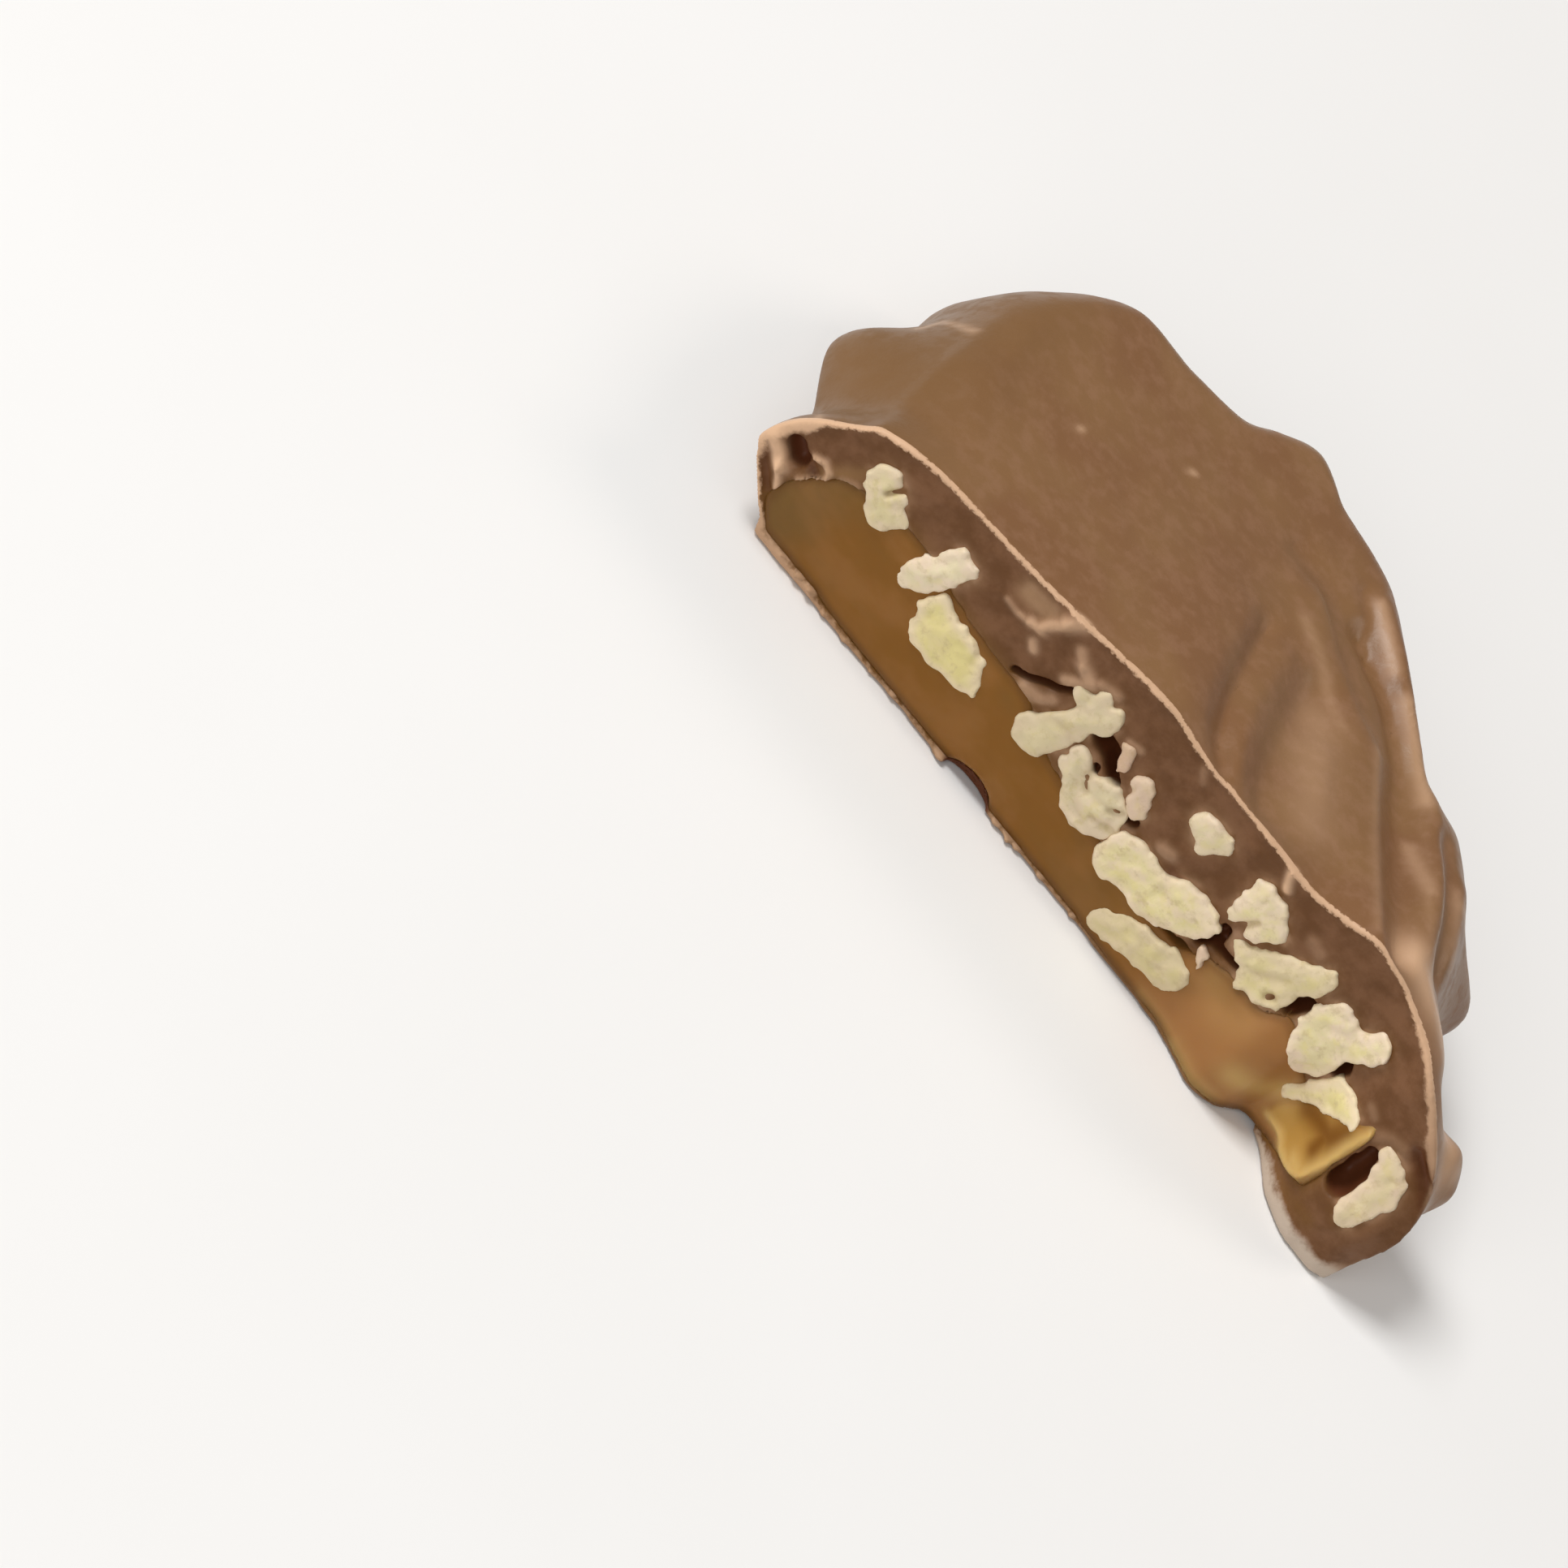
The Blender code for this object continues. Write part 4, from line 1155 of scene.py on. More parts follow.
@dataclass(frozen=True)
class Clouds:
    """A cloudy pattern of a real size in millimetres, with finer layers of some detail and weight in it."""

    size: float
    detail: float = 3.0
    weight: float = 0.55
    stretch: tuple[float, float, float] = (1.0, 1.0, 1.0)

    def plain(self, tree: bpy.types.NodeTree) -> bpy.types.NodeSocket:
        """Lay the pattern in a piece's own coordinates, which are metres.

        Args:
            tree: The material's tree.

        Returns:
            The output that gives the pattern.
        """
        place = add_node(tree, "TexCoord", out="Object")
        mapped = add_node(tree, "Mapping", n0=place, n3=tuple(1 / v for v in self.stretch))
        finer = {"Detail": self.detail, "Roughness": self.weight}
        return add_node(tree, "TexNoise", out="Fac", Vector=mapped, Scale=1 / (self.size * MM), **finer)

    def spread(
        self, tree: bpy.types.NodeTree, low: float, high: float, to_low: float = 0.0, to_high: float = 1.0
    ) -> bpy.types.NodeSocket:
        """The output that gives the pattern, with its amounts from low to high mapped to others."""
        ends = {"n1": low, "n2": high, "n3": to_low, "n4": to_high}
        return add_node(tree, "MapRange", SMOOTH, n0=self.plain(tree), **ends)

    def relief(
        self, tree: bpy.types.NodeTree, depth: float, strength: float, **under: bpy.types.NodeSocket
    ) -> bpy.types.NodeSocket:
        """The output that gives the pattern as relief of a depth in millimetres, on a Normal under it."""
        height = self.plain(tree)
        return add_node(tree, "Bump", Height=height, Distance=depth * MM, Strength=strength, **under)


def lay_over(tree: bpy.types.NodeTree, colour: Any, *layers: tuple[Any, Any]) -> Any:
    """Lay colours over a colour, one after the other.

    Args:
        tree: The material's tree.
        colour: The lowest colour, as sRGB hex or an output.
        *layers: Pairs of a share, as an output or as the name of a mark, and a colour.

    Returns:
        The output that gives the whole.
    """
    for share, over in layers:
        if isinstance(share, str):
            share = add_node(tree, "Attribute", {"attribute_name": share}, "Fac")
        first, second = (to_linear(each) if isinstance(each, str) else each for each in (colour, over))
        colour = add_node(tree, "Mix", {"data_type": "RGBA"}, 2, n0=share, n6=first, n7=second)
    return colour


def new_material(name: str) -> tuple[bpy.types.Material, bpy.types.NodeTree, bpy.types.Node]:
    """Start a material.

    Args:
        name: The real material's name.

    Returns:
        The material, its tree and its main shader.
    """
    made = bpy.data.materials.new(name)
    made.use_nodes = True
    return made, made.node_tree, made.node_tree.nodes["Principled BSDF"]


@dataclass(frozen=True)
class MilkChocolate:
    """Enrobed milk chocolate: a satin skin with a faint bloom outside, and a matt, darker break where cut.

    The cooled cocoa butter gives the eye a soft wide sheen with fine mottling and no sharp reflection.
    """

    skin: str = "#86623f"
    skin_warm: str = "#805a3a"
    skin_bloom: str = "#977055"
    # Painted shade, laid over the skin towards the left end
    skin_left_shade: str = "#7a5835"
    broken: str = "#654226"
    broken_warm: str = "#785338"
    burr: str = "#dab28f"
    # A painted reflection of the pale floor, which whitens the burr along the foot
    floor_glare: str = "#cdbcaa"
    stain: str = "#74501f"
    # Painted shade in the cracks, the holes, the chip and the furrows of the cut
    hollow: str = "#5e331d"
    roughness: float = 0.42
    ior: float = 1.45
    gloss: float = 0.32
    cut_gloss: float = 0.16

    def make(self) -> bpy.types.Material:
        """Build the material.

        Returns:
            The material.
        """
        made, tree, shader = new_material("milk_chocolate")
        # Cocoa butter sets in clouds of several millimetres, with mottles near 1 mm and grains near 0.2 mm
        clouds = Clouds(9.0, 2.0).spread(tree, 0.35, 0.65)
        mottles = Clouds(1.3, 4.0, 0.6).spread(tree, 0.4, 0.7)
        bloom = add_node(tree, "Math", {"operation": "MULTIPLY"}, n0=mottles, n1=0.35)
        # The mark deep paints shade over the skin towards the left end
        layers = ((clouds, self.skin_warm), (bloom, self.skin_bloom), ("deep", self.skin_left_shade))
        outside = lay_over(tree, self.skin, *layers)
        patches = Clouds(2.4, 4.0, 0.6).spread(tree, 0.35, 0.65)
        cut = lay_over(tree, self.broken, (patches, self.broken_warm))
        # The burr's edge is torn by about 0.1 mm
        inset, width, share, pale, skin = (
            add_node(tree, "Attribute", {"attribute_name": name}, "Fac")
            for name in ("inset", "burr_width", "burr_share", "pale", "skin")
        )
        torn = Clouds(0.35, 3.0, 0.6).spread(tree, 0.3, 0.7, -0.12, 0.12)
        inset = add_node(tree, "Math", {"operation": "ADD"}, n0=inset, n1=torn)
        ratio = add_node(tree, "Math", {"operation": "DIVIDE"}, n0=inset, n1=width)
        line = add_node(tree, "MapRange", SMOOTH, n0=ratio, n1=0.5, n2=1.4, n3=1.0, n4=0.0)
        line = add_node(tree, "Math", {"operation": "MULTIPLY"}, n0=line, n1=share)
        line = add_node(tree, "Math", {"operation": "MAXIMUM"}, n0=line, n1=pale)
        # Towards the right end, the burr along the foot is whitened by a painted reflection of the pale
        # floor
        edge = lay_over(tree, self.burr, ("floor_glare", self.floor_glare))
        # hollow is laid last, as painted shade in cracks, holes, the chip and furrows
        layers = ((skin, outside), ("stain", self.stain), (line, edge), ("hollow", self.hollow))
        colour = lay_over(tree, cut, *layers)
        rough = add_node(tree, "MapRange", SMOOTH, n0=mottles, n3=-0.05, n4=0.08)
        rough = add_node(tree, "Math", {"operation": "ADD"}, n0=rough, n1=self.roughness)
        sheen = add_node(tree, "MapRange", SMOOTH, n0=skin, n3=self.cut_gloss, n4=self.gloss)
        relief = Clouds(0.22, 2.0, 0.7).relief(tree, 0.02, 0.5)
        relief = Clouds(0.9, 3.0, 0.6).relief(tree, 0.05, 0.5, Normal=relief)
        tree.links.new(colour, shader.inputs["Base Color"])
        tree.links.new(rough, shader.inputs["Roughness"])
        tree.links.new(sheen, shader.inputs["Specular IOR Level"])
        tree.links.new(relief, shader.inputs["Normal"])
        shader.inputs["IOR"].default_value = self.ior
        return made


@dataclass(frozen=True)
class ButterCaramel:
    """Soft butter caramel, cut by a knife and faintly dragged by it.

    Boiled cream and sugar let light in for about a millimetre, which gives the eye an amber glow.
    """

    olive: str = "#765629"
    amber: str = "#84571d"
    tan: str = "#9e6e3f"
    # Paler caramel along folds; on the broad fold at the right, it is painted light where the fold turns
    # from the lamp
    pale: str = "#cfae6c"
    # Painted shade in the dips of the folds
    deep: str = "#784b10"
    # Painted glow over the torn flap, as if light shone through its thin sheet
    flap_glow: str = "#b0853f"
    stained: str = "#6b4720"
    roughness: float = 0.38
    ior: float = 1.49
    gloss: float = 0.15
    glow: float = 0.3
    glow_reach: tuple[float, float, float] = (1.0, 0.45, 0.12)

    def make(self) -> bpy.types.Material:
        """Build the material.

        Returns:
            The material.
        """
        made, tree, shader = new_material("butter_caramel")
        tone = add_node(tree, "Attribute", {"attribute_name": "tone"}, "Fac")
        amber = add_node(tree, "MapRange", SMOOTH, n0=tone, n2=0.4)
        tan = add_node(tree, "MapRange", SMOOTH, n0=tone, n1=0.6, n2=0.9)
        clouds = Clouds(3.0, 3.0, 0.5, (1.6, 1.0, 1.0)).spread(tree, 0.4, 0.7, 0.0, 0.4)
        shades = Clouds(4.5, 2.0, 0.5, (1.8, 1.0, 1.0)).spread(tree, 0.5, 0.7, 0.0, 0.4)
        # Over the caramel's own tones: painted shade in the folds' dips, a painted glow over the flap, and
        # painted light on the broad fold
        colour = lay_over(
            tree, self.olive, (amber, self.amber), (tan, self.tan), (clouds, self.tan),
            (shades, self.olive), ("flap_glow", self.flap_glow), ("deep", self.deep), ("rim", self.stained),
            ("pale", self.pale),
        )
        # The knife drags the face into faint lines along the cut, about 0.5 mm apart
        relief = Clouds(0.5, 2.0, 0.5, (7.0, 1.0, 1.0)).relief(tree, 0.03, 0.35)
        tree.links.new(colour, shader.inputs["Base Color"])
        tree.links.new(relief, shader.inputs["Normal"])
        shader.inputs["Roughness"].default_value = self.roughness
        shader.inputs["IOR"].default_value = self.ior
        shader.inputs["Specular IOR Level"].default_value = self.gloss
        shader.inputs["Subsurface Weight"].default_value = self.glow
        shader.inputs["Subsurface Radius"].default_value = self.glow_reach
        shader.inputs["Subsurface Scale"].default_value = 1.2 * MM
        return made


@dataclass(frozen=True)
class PecanFlesh:
    """Chopped and cut pecan: cream flesh, pinker at its edges and brown down its sides.

    The torn flesh gives the eye a matt face, and its trace of oil a faint wide sheen.
    """

    cream: str = "#e6d7b6"
    yellow: str = "#e0d18c"
    blush: str = "#ebd4bb"
    side: str = "#7c5230"
    # Painted shade in the slits
    slit_shade: str = "#a88e64"
    shade: str = "#c4ae80"
    dull: str = "#c3b184"
    dust: str = "#b98f70"
    roughness: float = 0.55
    ior: float = 1.47
    glow: float = 0.12
    glow_reach: tuple[float, float, float] = (0.8, 0.6, 0.4)

    def make(self) -> bpy.types.Material:
        """Build the material.

        Returns:
            The material.
        """
        made, tree, shader = new_material("pecan_flesh")
        clouds = Clouds(1.5).spread(tree, 0.42, 0.62, 0.0, 0.75)
        tone = add_node(tree, "Attribute", {"attribute_name": "tone"}, "Fac")
        fading = add_node(tree, "MapRange", SMOOTH, n0=tone, n1=0.4, n3=1.0, n4=0.25)
        blushing = add_node(tree, "Math", {"operation": "MULTIPLY"}, n0=clouds, n1=fading)
        greens = Clouds(1.1, 2.0).spread(tree, 0.5, 0.66, 0.0, 0.5)
        shade = Clouds(0.8, 4.0, 0.65).spread(tree, 0.5, 0.7, 0.0, 0.5)
        body = lay_over(
            tree, self.cream, (tone, self.yellow), (blushing, self.blush), (greens, self.yellow),
            ("rim", self.blush), (shade, self.shade), ("dull", self.dull), ("dust", self.dust),
            ("slit_shade", self.slit_shade), ("side", self.side),
        )
        # Torn fibres about 0.25 mm wide
        relief = Clouds(0.28, 3.0, 0.6, (1.0, 1.0, 2.5)).relief(tree, 0.06, 0.5)
        tree.links.new(body, shader.inputs["Base Color"])
        tree.links.new(relief, shader.inputs["Normal"])
        shader.inputs["Roughness"].default_value = self.roughness
        shader.inputs["IOR"].default_value = self.ior
        shader.inputs["Subsurface Weight"].default_value = self.glow
        shader.inputs["Subsurface Radius"].default_value = self.glow_reach
        shader.inputs["Subsurface Scale"].default_value = 0.6 * MM
        return made


@dataclass
class ChocolateCoat:
    """The chocolate coat and filling, with the cut, its burr, its cracks and its pocket for the caramel."""

    face: CutFace
    grid_x: Place = (-36.0, 36.4)
    grid_y: tuple[float, float, float] = (-5.4, 1.6, 40.0)
    grid_z: Place = (-0.62, 19.6)
    fine: float = 0.2
    coarse: float = 0.6
    cut_softness: float = 0.16
    crumble_seed: int = 31
    tuft_stretch: float = 1.25
    tuft_softness: float = 0.2
    pit_softness: float = 0.15
    lap: float = 0.1
    lap_softness: float = 0.08
    lump_seed: int = 5
    skin_lumps: float = 0.05

    def field(self, x: Array, y: Array, z: Array) -> Array:
        """Distance from the coat's surface, below 0 in the chocolate.

        Args:
            x: Places along X.
            y: Places along Y.
            z: Places along Z.

        Returns:
            The distance at each place.
        """
        front = self.face.front(*np.broadcast_arrays(x, z)) - y
        total = meet(FORM.outside(x, y, z), front, self.cut_softness)
        ragged = 1 + 0.5 * Grain(self.crumble_seed).at(x, 0, z, 0.4)
        for tuft in TUFTS:
            tuft_x, tuft_z = tuft.place()
            tuft_y = float(FORM.cut(np.array(tuft_x), np.array(tuft_z))) - 0.1
            along = (x - tuft_x) / self.tuft_stretch
            away = np.sqrt(along**2 + (y - tuft_y) ** 2 + (z - tuft_z) ** 2) - tuft.size * ragged
            total = join(total, away, self.tuft_softness)
        total = meet(total, -pits(self.face, x, y, z), self.pit_softness)
        pocket = np.maximum(FORM.caramel(x, y, z), -CHIP.form(x, y, z, CHIP_WALL))
        return meet(total, self.lap - pocket, self.lap_softness)

    def build(self, finish: bpy.types.Material) -> bpy.types.Object:
        """Make the coat's mesh and dress it.

        Args:
            finish: The chocolate.

        Returns:
            The coat.
        """
        x = np.arange(*self.grid_x, self.fine)
        y = graded(*self.grid_y, self.fine, self.coarse)
        z = np.arange(*self.grid_z, self.fine)
        skin = Skin.of_field(x, y, z, self.field(*np.ix_(x, y, z)))
        # Behind the cut, where the mesh is coarse, the points are evened out more
        skin.relax(1, 0.4)
        skin.relax(4, 0.5 * smooth_step(2.0, 6.0, skin.points[:, 1:2]))
        px, py, pz = skin.points.T
        depth = py - self.face.read("place", px, pz)
        outer = FORM.outside(px, py, pz)
        # No crack or hole reaches further back than this, so what lies there is the skin
        far = smooth_step(7.0, 9.0, depth)
        on_skin = np.maximum(smooth_step(-0.4, -0.12, outer), far) * smooth_step(-0.04, 0.2, depth)
        lumps = Grain(self.lump_seed)
        swell = lumps.at(px, py, pz, 3.5) + 0.5 * lumps.at(px, py, pz, 1.4)
        lift = self.skin_lumps * swell * on_skin * smooth_step(0.2, 1.2, pz)
        skin.points += skin.normals() * lift[:, None]
        skin.points[:, 2] = np.maximum(skin.points[:, 2], 0.0)
        made = skin.add("coat_of_chocolate", self.marks(skin, depth, outer, on_skin, far), finish)
        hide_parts("chocolate_coat")
        return made

    def marks(self, skin: Skin, depth: Array, outer: Array, on_skin: Array, far: Array) -> dict[str, Array]:
        """The amounts that the chocolate's finish reads.

        Args:
            skin: The coat's surface.
            depth: How far each point lies behind the cut.
            outer: Its distance from the outer form.
            on_skin: How much it belongs to the skin.
            far: How surely it lies behind every crack.

        Returns:
            Amounts at the points, by name.
        """
        px, py, pz = skin.points.T
        # What the maps of the cut show reaches no further back than this
        near = 1 - smooth_step(0.25, 0.6, depth)
        pale = self.face.read("pale", px, pz) * near
        for tuft in TUFTS:
            tuft_x, tuft_z = tuft.place()
            away = np.hypot((px - tuft_x) / self.tuft_stretch, pz - tuft_z)
            pale = np.maximum(pale, 0.55 * near * (1 - smooth_step(tuft.size * 0.8, tuft.size * 1.4, away)))
        # Painted highlights along ridges and rims, and a few small specks, lighten the skin
        for speck_and_highlight in SPECKS_AND_HIGHLIGHTS:
            pale = np.maximum(pale, speck_and_highlight.share(px, py, pz) * on_skin)
        # Painted shade: cracks and holes darken the deeper they reach, and the chip and the furrows of the
        # cut with them
        hollow = smooth_step(0.1, 0.9, depth) * (1 - smooth_step(-0.5, -0.2, outer)) * (1 - far)
        in_chip = 1 - smooth_step(-0.1, 0.1, CHIP.form(px, py, pz, CHIP_WALL))
        hollow = np.maximum(hollow, in_chip)
        return {
            "skin": on_skin,
            # Painted shade: the skin darkens towards the left end
            "deep": smooth_step(-21.0, -30.5, px),
            "pale": pale,
            "stain": self.face.read("stain", px, pz) * near * (1 - on_skin) * 0.8,
            "hollow": np.maximum(hollow, self.face.read("furrow_shade", px, pz) * near),
            "inset": self.face.read("inset", px, pz) + 4 * (1 - near),
            **{name: self.face.read(name, px, pz) for name in ("burr_width", "burr_share", "floor_glare")},
        }


@dataclass
class CaramelLayer:
    """The caramel layer, which swells a little out of the cut, with the flap torn from it at the right."""

    face: CutFace
    grid_x: Place = (-33.0, 32.0)
    grid_y: tuple[float, float, float] = (-5.8, 1.2, 38.0)
    grid_z: Place = (-0.2, 11.2)
    fine: float = 0.25
    fine_deep: float = 0.22
    coarse: float = 0.6
    swell: float = 0.1
    reach: float = 0.25
    seed: int = 21
    softness: float = 0.15
    flap_front: float = 0.25
    flap_back: float = 0.9
    flap_softness: float = 0.3
    join_softness: float = 0.2
    flap: Sequence[Place] = (
        (22.6, 2.7), (23.6, 2.4), (24.6, 1.9), (25.4, 1.1), (26.4, 0.7), (27.3, 0.9), (27.7, 2.4),
        (27.9, 4.2), (28.0, 6.0), (27.8, 8.0), (27.3, 8.4), (26.8, 7.6), (26.0, 7.0), (25.0, 6.6),
        (24.0, 6.0), (23.2, 4.8), (22.6, 3.8),
    )
    folds: tuple[Streak, ...] = (
        Streak(((22.9, 2.5), (24.3, 2.3), (25.2, 1.4), (26.2, 1.0), (27.1, 1.2)), 0.4, 0.3, 0.8),
        Streak(((26.3, 1.7), (26.9, 1.5)), 0.5, 0.1, 0.6),
        Streak(((27.3, 1.6), (27.5, 4.0), (27.4, 6.0), (27.6, 8.0)), 0.4, 0.4, 0.75),
        # Painted light on the broad fold at the right, which turns from the lamp
        Streak(((19.6, 2.2), (21.2, 3.4), (22.2, 4.6)), 1.1, 0.0, 0.55),
        Streak(((11.5, 0.6), (14.5, 0.3)), 0.5, 0.0, 0.15),
        Streak(((15.6, -0.3), (17.4, -0.8), (19.3, -0.5)), 0.8, 0.0, 0.3),
        Streak(((13.5, 5.6), (15.5, 4.4), (17.0, 5.6)), 1.2, 0.0, 0.12),
        Streak(((24.0, 5.2), (25.2, 5.3), (26.3, 5.0), (26.7, 6.4)), 0.9, -0.13, 0.0),
        Streak(((26.2, 4.4), (26.4, 3.4)), 0.6, -0.12, 0.0),
    )
    tones: Knots = (
        (-34, 0.0), (-29, 0.0), (-24, 0.35), (-18, 0.42), (-12, 0.6), (-6, 0.62), (0, 0.5), (5, 0.5),
        (12, 0.8), (15, 1.0), (36, 0.95),
    )

    def at_cut(self, x: Array, z: Array) -> Array:
        """Distance from the layer's form just behind the cut, below 0 inside it."""
        return FORM.caramel(x, self.face.read("place", x, z) + 0.3, z)

    def from_flap(self, x: Array, z: Array) -> Array:
        """Distance from the flap's outline, below 0 inside it."""
        return outline_distance(rounded_outline(SIGHT.on_cut(self.flap)), x, z)

    def field(self, x: Array, y: Array, z: Array) -> Array:
        """Distance from the caramel's surface, below 0 inside it.

        Args:
            x: Places along X.
            y: Places along Y.
            z: Places along Z.

        Returns:
            The distance at each place.
        """
        flat_x, flat_z = np.broadcast_arrays(x, z)
        place = self.face.read("place", flat_x, flat_z)
        relief = self.swell * smooth_step(0.0, 1.6, -self.at_cut(flat_x, flat_z))
        for fold in self.folds:
            relief = relief + fold.rise * fold.shape(flat_x, flat_z)
        relief = relief + 0.03 * Grain(self.seed).at(flat_x, 0, flat_z, 1.3)
        total = meet(FORM.caramel(x, y, z) - self.reach, (place - relief) - y, self.softness)
        front = place - self.flap_front - relief - y
        sheet = meet(self.from_flap(flat_x, flat_z), front, self.flap_softness)
        sheet = meet(sheet, y - place - self.flap_back, self.flap_softness)
        total = join(total, sheet, self.join_softness)
        return meet(total, -CHIP.form(x, y, z, CHIP_WALL / 2), self.softness)

    def build(self, finish: bpy.types.Material) -> bpy.types.Object:
        """Make the caramel's mesh and dress it.

        Args:
            finish: The caramel.

        Returns:
            The caramel layer.
        """
        x = np.arange(*self.grid_x, self.fine)
        y = graded(*self.grid_y, self.fine_deep, self.coarse)
        z = np.arange(*self.grid_z, self.fine)
        skin = Skin.of_field(x, y, z, self.field(*np.ix_(x, y, z)))
        skin.relax(1, 0.5)
        px, _, pz = skin.points.T
        pale, deep = np.zeros((2, len(px)))
        # Folds are paler caramel, and their dips get painted shade
        for fold in self.folds:
            shape = fold.shape(px, pz, 1.1)
            pale = np.maximum(pale, fold.pale * shape)
            if fold.rise < 0.0:
                deep = np.maximum(deep, shape)
        flap = self.from_flap(px, pz)
        rim = smooth_step(-0.7, -0.05, self.at_cut(px, pz)) * (0.85 - 0.35 * smooth_step(2.0, 4.0, pz))
        marks = {
            "tone": through(self.tones, px),
            "pale": pale,
            "deep": deep,
            "rim": rim * smooth_step(-0.3, 0.2, flap),
            # Painted glow over the torn flap
            "flap_glow": 1 - smooth_step(-0.5, 0.1, flap),
        }
        made = skin.add("layer_of_caramel", marks, finish)
        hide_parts("caramel")
        return made


@dataclass
class PecanPieces:
    """The pecan pieces that the knife met, each its own mesh, and the crumbs beside them."""

    face: CutFace
    fine: float = 0.15
    room: float = 0.9
    crown: float = 0.12
    spread: float = 0.16
    side_slope: float = 0.3
    rounding: float = 0.36
    back_rounding: float = 0.8

    def field(self, nut: NutShape, x: Array, y: Array, z: Array) -> Array:
        """Distance from a piece's surface, below 0 inside it.

        Args:
            nut: The piece.
            x: Places along X.
            y: Places along Y.
            z: Places along Z.

        Returns:
            The distance at each place.
        """
        curve = nut.curve()
        flat_x, flat_z = np.broadcast_arrays(x, z)
        outline = outline_distance(curve, flat_x, flat_z)
        place = FORM.cut(flat_x, flat_z)
        # Each piece has its own noise, which makes its face uneven and its outline torn
        lumps = Grain(len(nut.name) + int(10 * curve[0, 0]) % 97)
        relief = nut.proud + self.crown * smooth_step(0.0, 1.4, -outline)
        relief = relief + 0.11 * lumps.at(flat_x, 0, flat_z, 1.2) + 0.07 * lumps.at(flat_x, 4, flat_z, 0.5)
        for slit in nut.slits:
            relief = relief + slit.rise * slit.shape(flat_x, flat_z)
        torn = 0.17 * lumps.at(flat_x + 3, 0, flat_z, 1.1) + 0.19 * lumps.at(flat_x + 5, 0, flat_z, 0.5)
        wall = outline - self.spread + self.side_slope * np.maximum(y - place, 0.0) + torn
        total = meet(wall, place - relief - y, self.rounding)
        return meet(total, y - place - nut.depth, self.back_rounding)

    def build_piece(self, nut: NutShape, finish: bpy.types.Material) -> bpy.types.Object:
        """Make one piece.

        Args:
            nut: The piece.
            finish: The pecan flesh.

        Returns:
            The piece.
        """
        corners = np.array(SIGHT.on_cut(nut.outline))
        low, high = corners.min(0) - self.room, corners.max(0) + self.room
        place = FORM.cut(*corners.T)
        x = np.arange(low[0], high[0], self.fine)
        y = np.arange(place.min() - 1.2, place.max() + nut.depth + 0.8, self.fine * 1.2)
        z = np.arange(low[1], high[1], self.fine)
        skin = Skin.of_field(x, y, z, self.field(nut, *np.ix_(x, y, z)))
        skin.relax(1, 0.4)
        px, py, pz = skin.points.T
        # Painted shade in the slits, darker the deeper each is cut
        slit_shade = np.zeros(len(px))
        for slit in nut.slits:
            slit_shade = np.maximum(slit_shade, min(1.0, -slit.rise * 1.6) * slit.shape(px, pz))
        marks = {
            "rim": 0.6 * smooth_step(-0.9, -0.1, outline_distance(nut.curve(), px, pz)),
            "side": smooth_step(0.2, 0.8, py - FORM.cut(px, pz)),
            "slit_shade": slit_shade,
            **{name: np.full(len(px), getattr(nut, name)) for name in ("tone", "dust", "dull")},
        }
        return skin.add(nut.name + "_cut", marks, finish)

    def build(self, finish: bpy.types.Material) -> list[bpy.types.Object]:
        """Make every piece.

        Args:
            finish: The pecan flesh.

        Returns:
            The pieces, and the crumbs after them.
        """
        made = []
        for nut in NUTS:
            piece = self.build_piece(nut, finish)
            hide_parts(nut.name)
            made.append(piece)
        return made + [self.build_piece(crumb, finish) for crumb in CRUMBS]


@dataclass(frozen=True)
class SoftLight:
    """A square soft light that faces the part, with its place and size in metres and its power in watts."""

    name: str
    place: tuple[float, float, float]
    size: float
    power: float
    tint: tuple[float, float, float] = (1.0, 1.0, 1.0)

    def hang(self) -> None:
        """Add the light to the scene."""
        data = bpy.data.lights.new(self.name, "AREA")
        data.shape = "SQUARE"
        data.size = self.size
        data.energy = self.power
        data.color = self.tint
        light = bpy.data.objects.new(self.name, data)
        bpy.context.scene.collection.objects.link(light)
        back = np.array(self.place) / np.linalg.norm(self.place)
        side = np.cross((0.0, 0.0, 1.0), back)
        side /= np.linalg.norm(side)
        up = np.cross(back, side)
        light.matrix_world = placed(np.stack([side, up, back]), np.array(self.place))


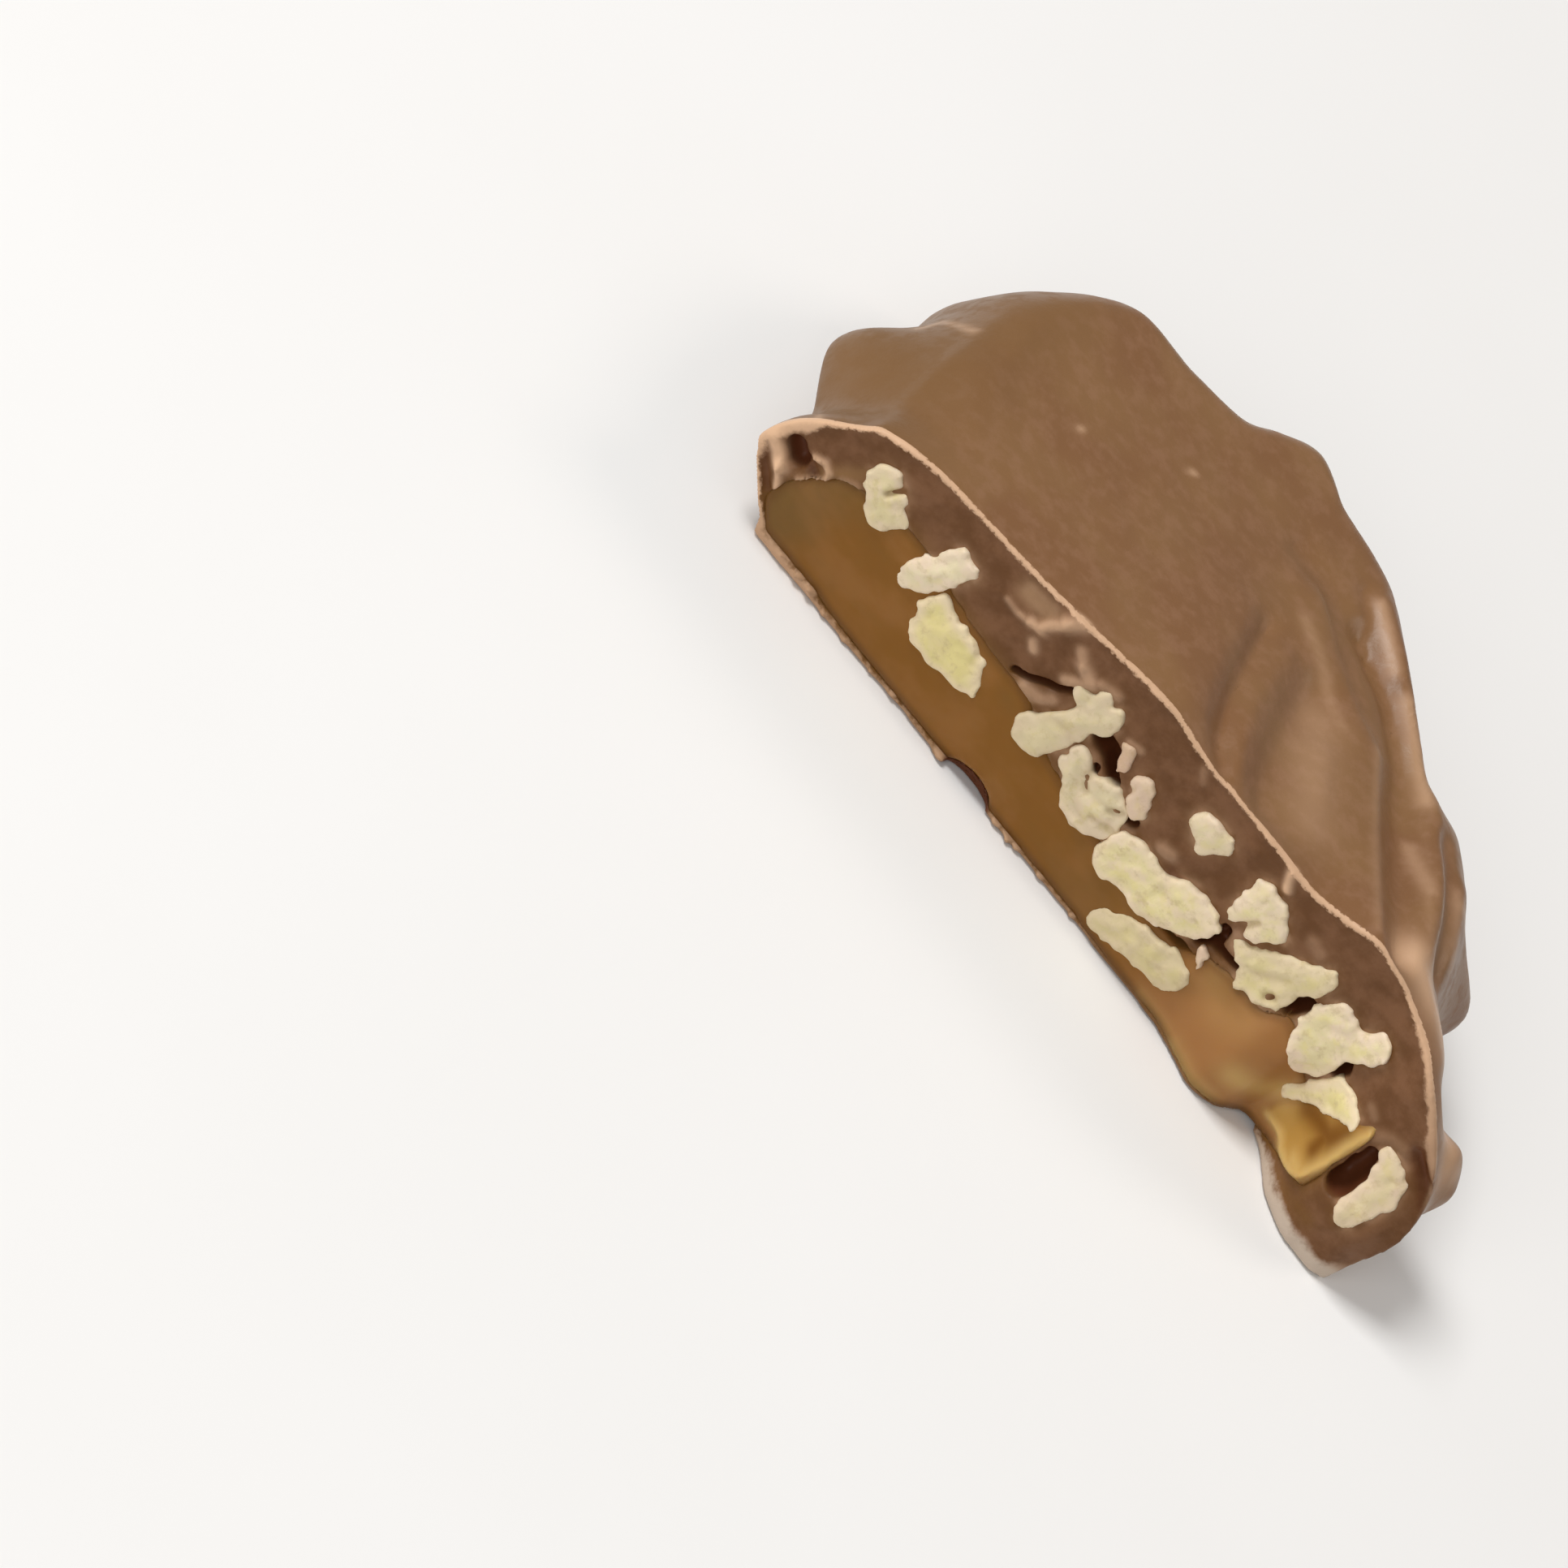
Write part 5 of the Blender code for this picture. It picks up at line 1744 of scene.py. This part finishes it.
@dataclass
class Studio:
    """A plain pale floor, soft light and the camera, with lengths in metres."""

    floor_size: float = 3.0
    # The floor lies just under the foot, so that the two faces don't meet
    floor_drop: float = 0.0001
    floor_colour: str = "#f4f3f1"
    floor_pale: str = "#ffffff"
    world_strength: float = 0.24
    lights: tuple[SoftLight, ...] = (
        SoftLight("key", (-0.60, -0.12, 0.79), 0.35, 6.8),
        SoftLight("front", (-0.22, -0.9, 0.5), 0.7, 3.4),
        SoftLight("sheen", (0.60, 0.46, 0.66), 0.3, 1.7, (1.0, 0.88, 0.78)),
    )
    sensor_mm: float = 36.0

    def build(self) -> None:
        """Make the floor, the lights and the camera."""
        self.build_floor()
        self.build_lights()
        self.build_camera()

    def build_floor(self) -> None:
        """Make the pale floor."""
        half = self.floor_size / 2
        mesh = bpy.data.meshes.new("floor")
        corners = [(-half, -half), (half, -half), (half, half), (-half, half)]
        mesh.from_pydata([(*corner, -self.floor_drop) for corner in corners], [], [(0, 1, 2, 3)])
        # Sweep paper is matt, so the eye sees no edge or gloss, only faint clouds of 60 mm
        made, tree, shader = new_material("white_sweep_paper")
        clouds = Clouds(60.0).spread(tree, 0.3, 0.7, 0.0, 0.15)
        shade = lay_over(tree, self.floor_colour, (clouds, self.floor_pale))
        tree.links.new(shade, shader.inputs["Base Color"])
        shader.inputs["Roughness"].default_value = 0.9
        mesh.materials.append(made)
        floor = bpy.data.objects.new("floor", mesh)
        bpy.context.scene.collection.objects.link(floor)

    def build_lights(self) -> None:
        """Hang the soft lights in a faint even glow."""
        world = bpy.data.worlds.new("studio")
        bpy.context.scene.world = world
        world.use_nodes = True
        shade = world.node_tree.nodes["Background"]
        shade.inputs["Color"].default_value = (1.0, 1.0, 1.0, 1.0)
        shade.inputs["Strength"].default_value = self.world_strength
        for light in self.lights:
            light.hang()

    def build_camera(self) -> None:
        """Set the camera at the photograph's viewing angle."""
        data = bpy.data.cameras.new("camera")
        data.sensor_width = self.sensor_mm
        data.lens = SIGHT.lens_px / SIGHT.picture_px * data.sensor_width
        data.clip_start = 0.02
        data.clip_end = 10.0
        camera = bpy.data.objects.new("camera", data)
        bpy.context.scene.collection.objects.link(camera)
        camera.matrix_world = placed(SIGHT.axes(), (SIGHT.place() - np.array([*BOX_MIDDLE, 0.0])) * MM)
        bpy.context.scene.camera = camera


def placed(axes: Array, place: Array) -> Matrix:
    """A place and its directions as a matrix.

    Args:
        axes: The local X, Y and Z directions, as rows.
        place: Where it stands, in metres.

    Returns:
        The matrix.
    """
    whole = np.eye(4)
    whole[:3, :3] = axes.T
    whole[:3, 3] = place
    return Matrix(whole.tolist())


def main() -> None:
    """Build every piece around the frame, and say where each rides."""
    logging.basicConfig(level=logging.INFO, format="%(name)s: %(message)s")
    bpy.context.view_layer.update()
    bpy.context.scene.view_settings.view_transform = "Standard"
    face = CutFace()
    LOG.info("cut face mapped")
    coat = ChocolateCoat(face).build(MilkChocolate().make())
    caramel = CaramelLayer(face).build(ButterCaramel().make())
    pecans = PecanPieces(face).build(PecanFlesh().make())
    dressed: list[tuple[bpy.types.Object, Slot]] = [
        (coat, Slot.CHOCOLATE), (caramel, Slot.CARAMEL), *((piece, Slot.PECAN) for piece in pecans),
    ]
    for piece, slot in dressed:
        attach(piece, "root")
        LOG.info("%s: %d faces, finish %s", piece.name, len(piece.data.polygons), slot.value)
    Studio().build()


if __name__ == "__main__":
    main()
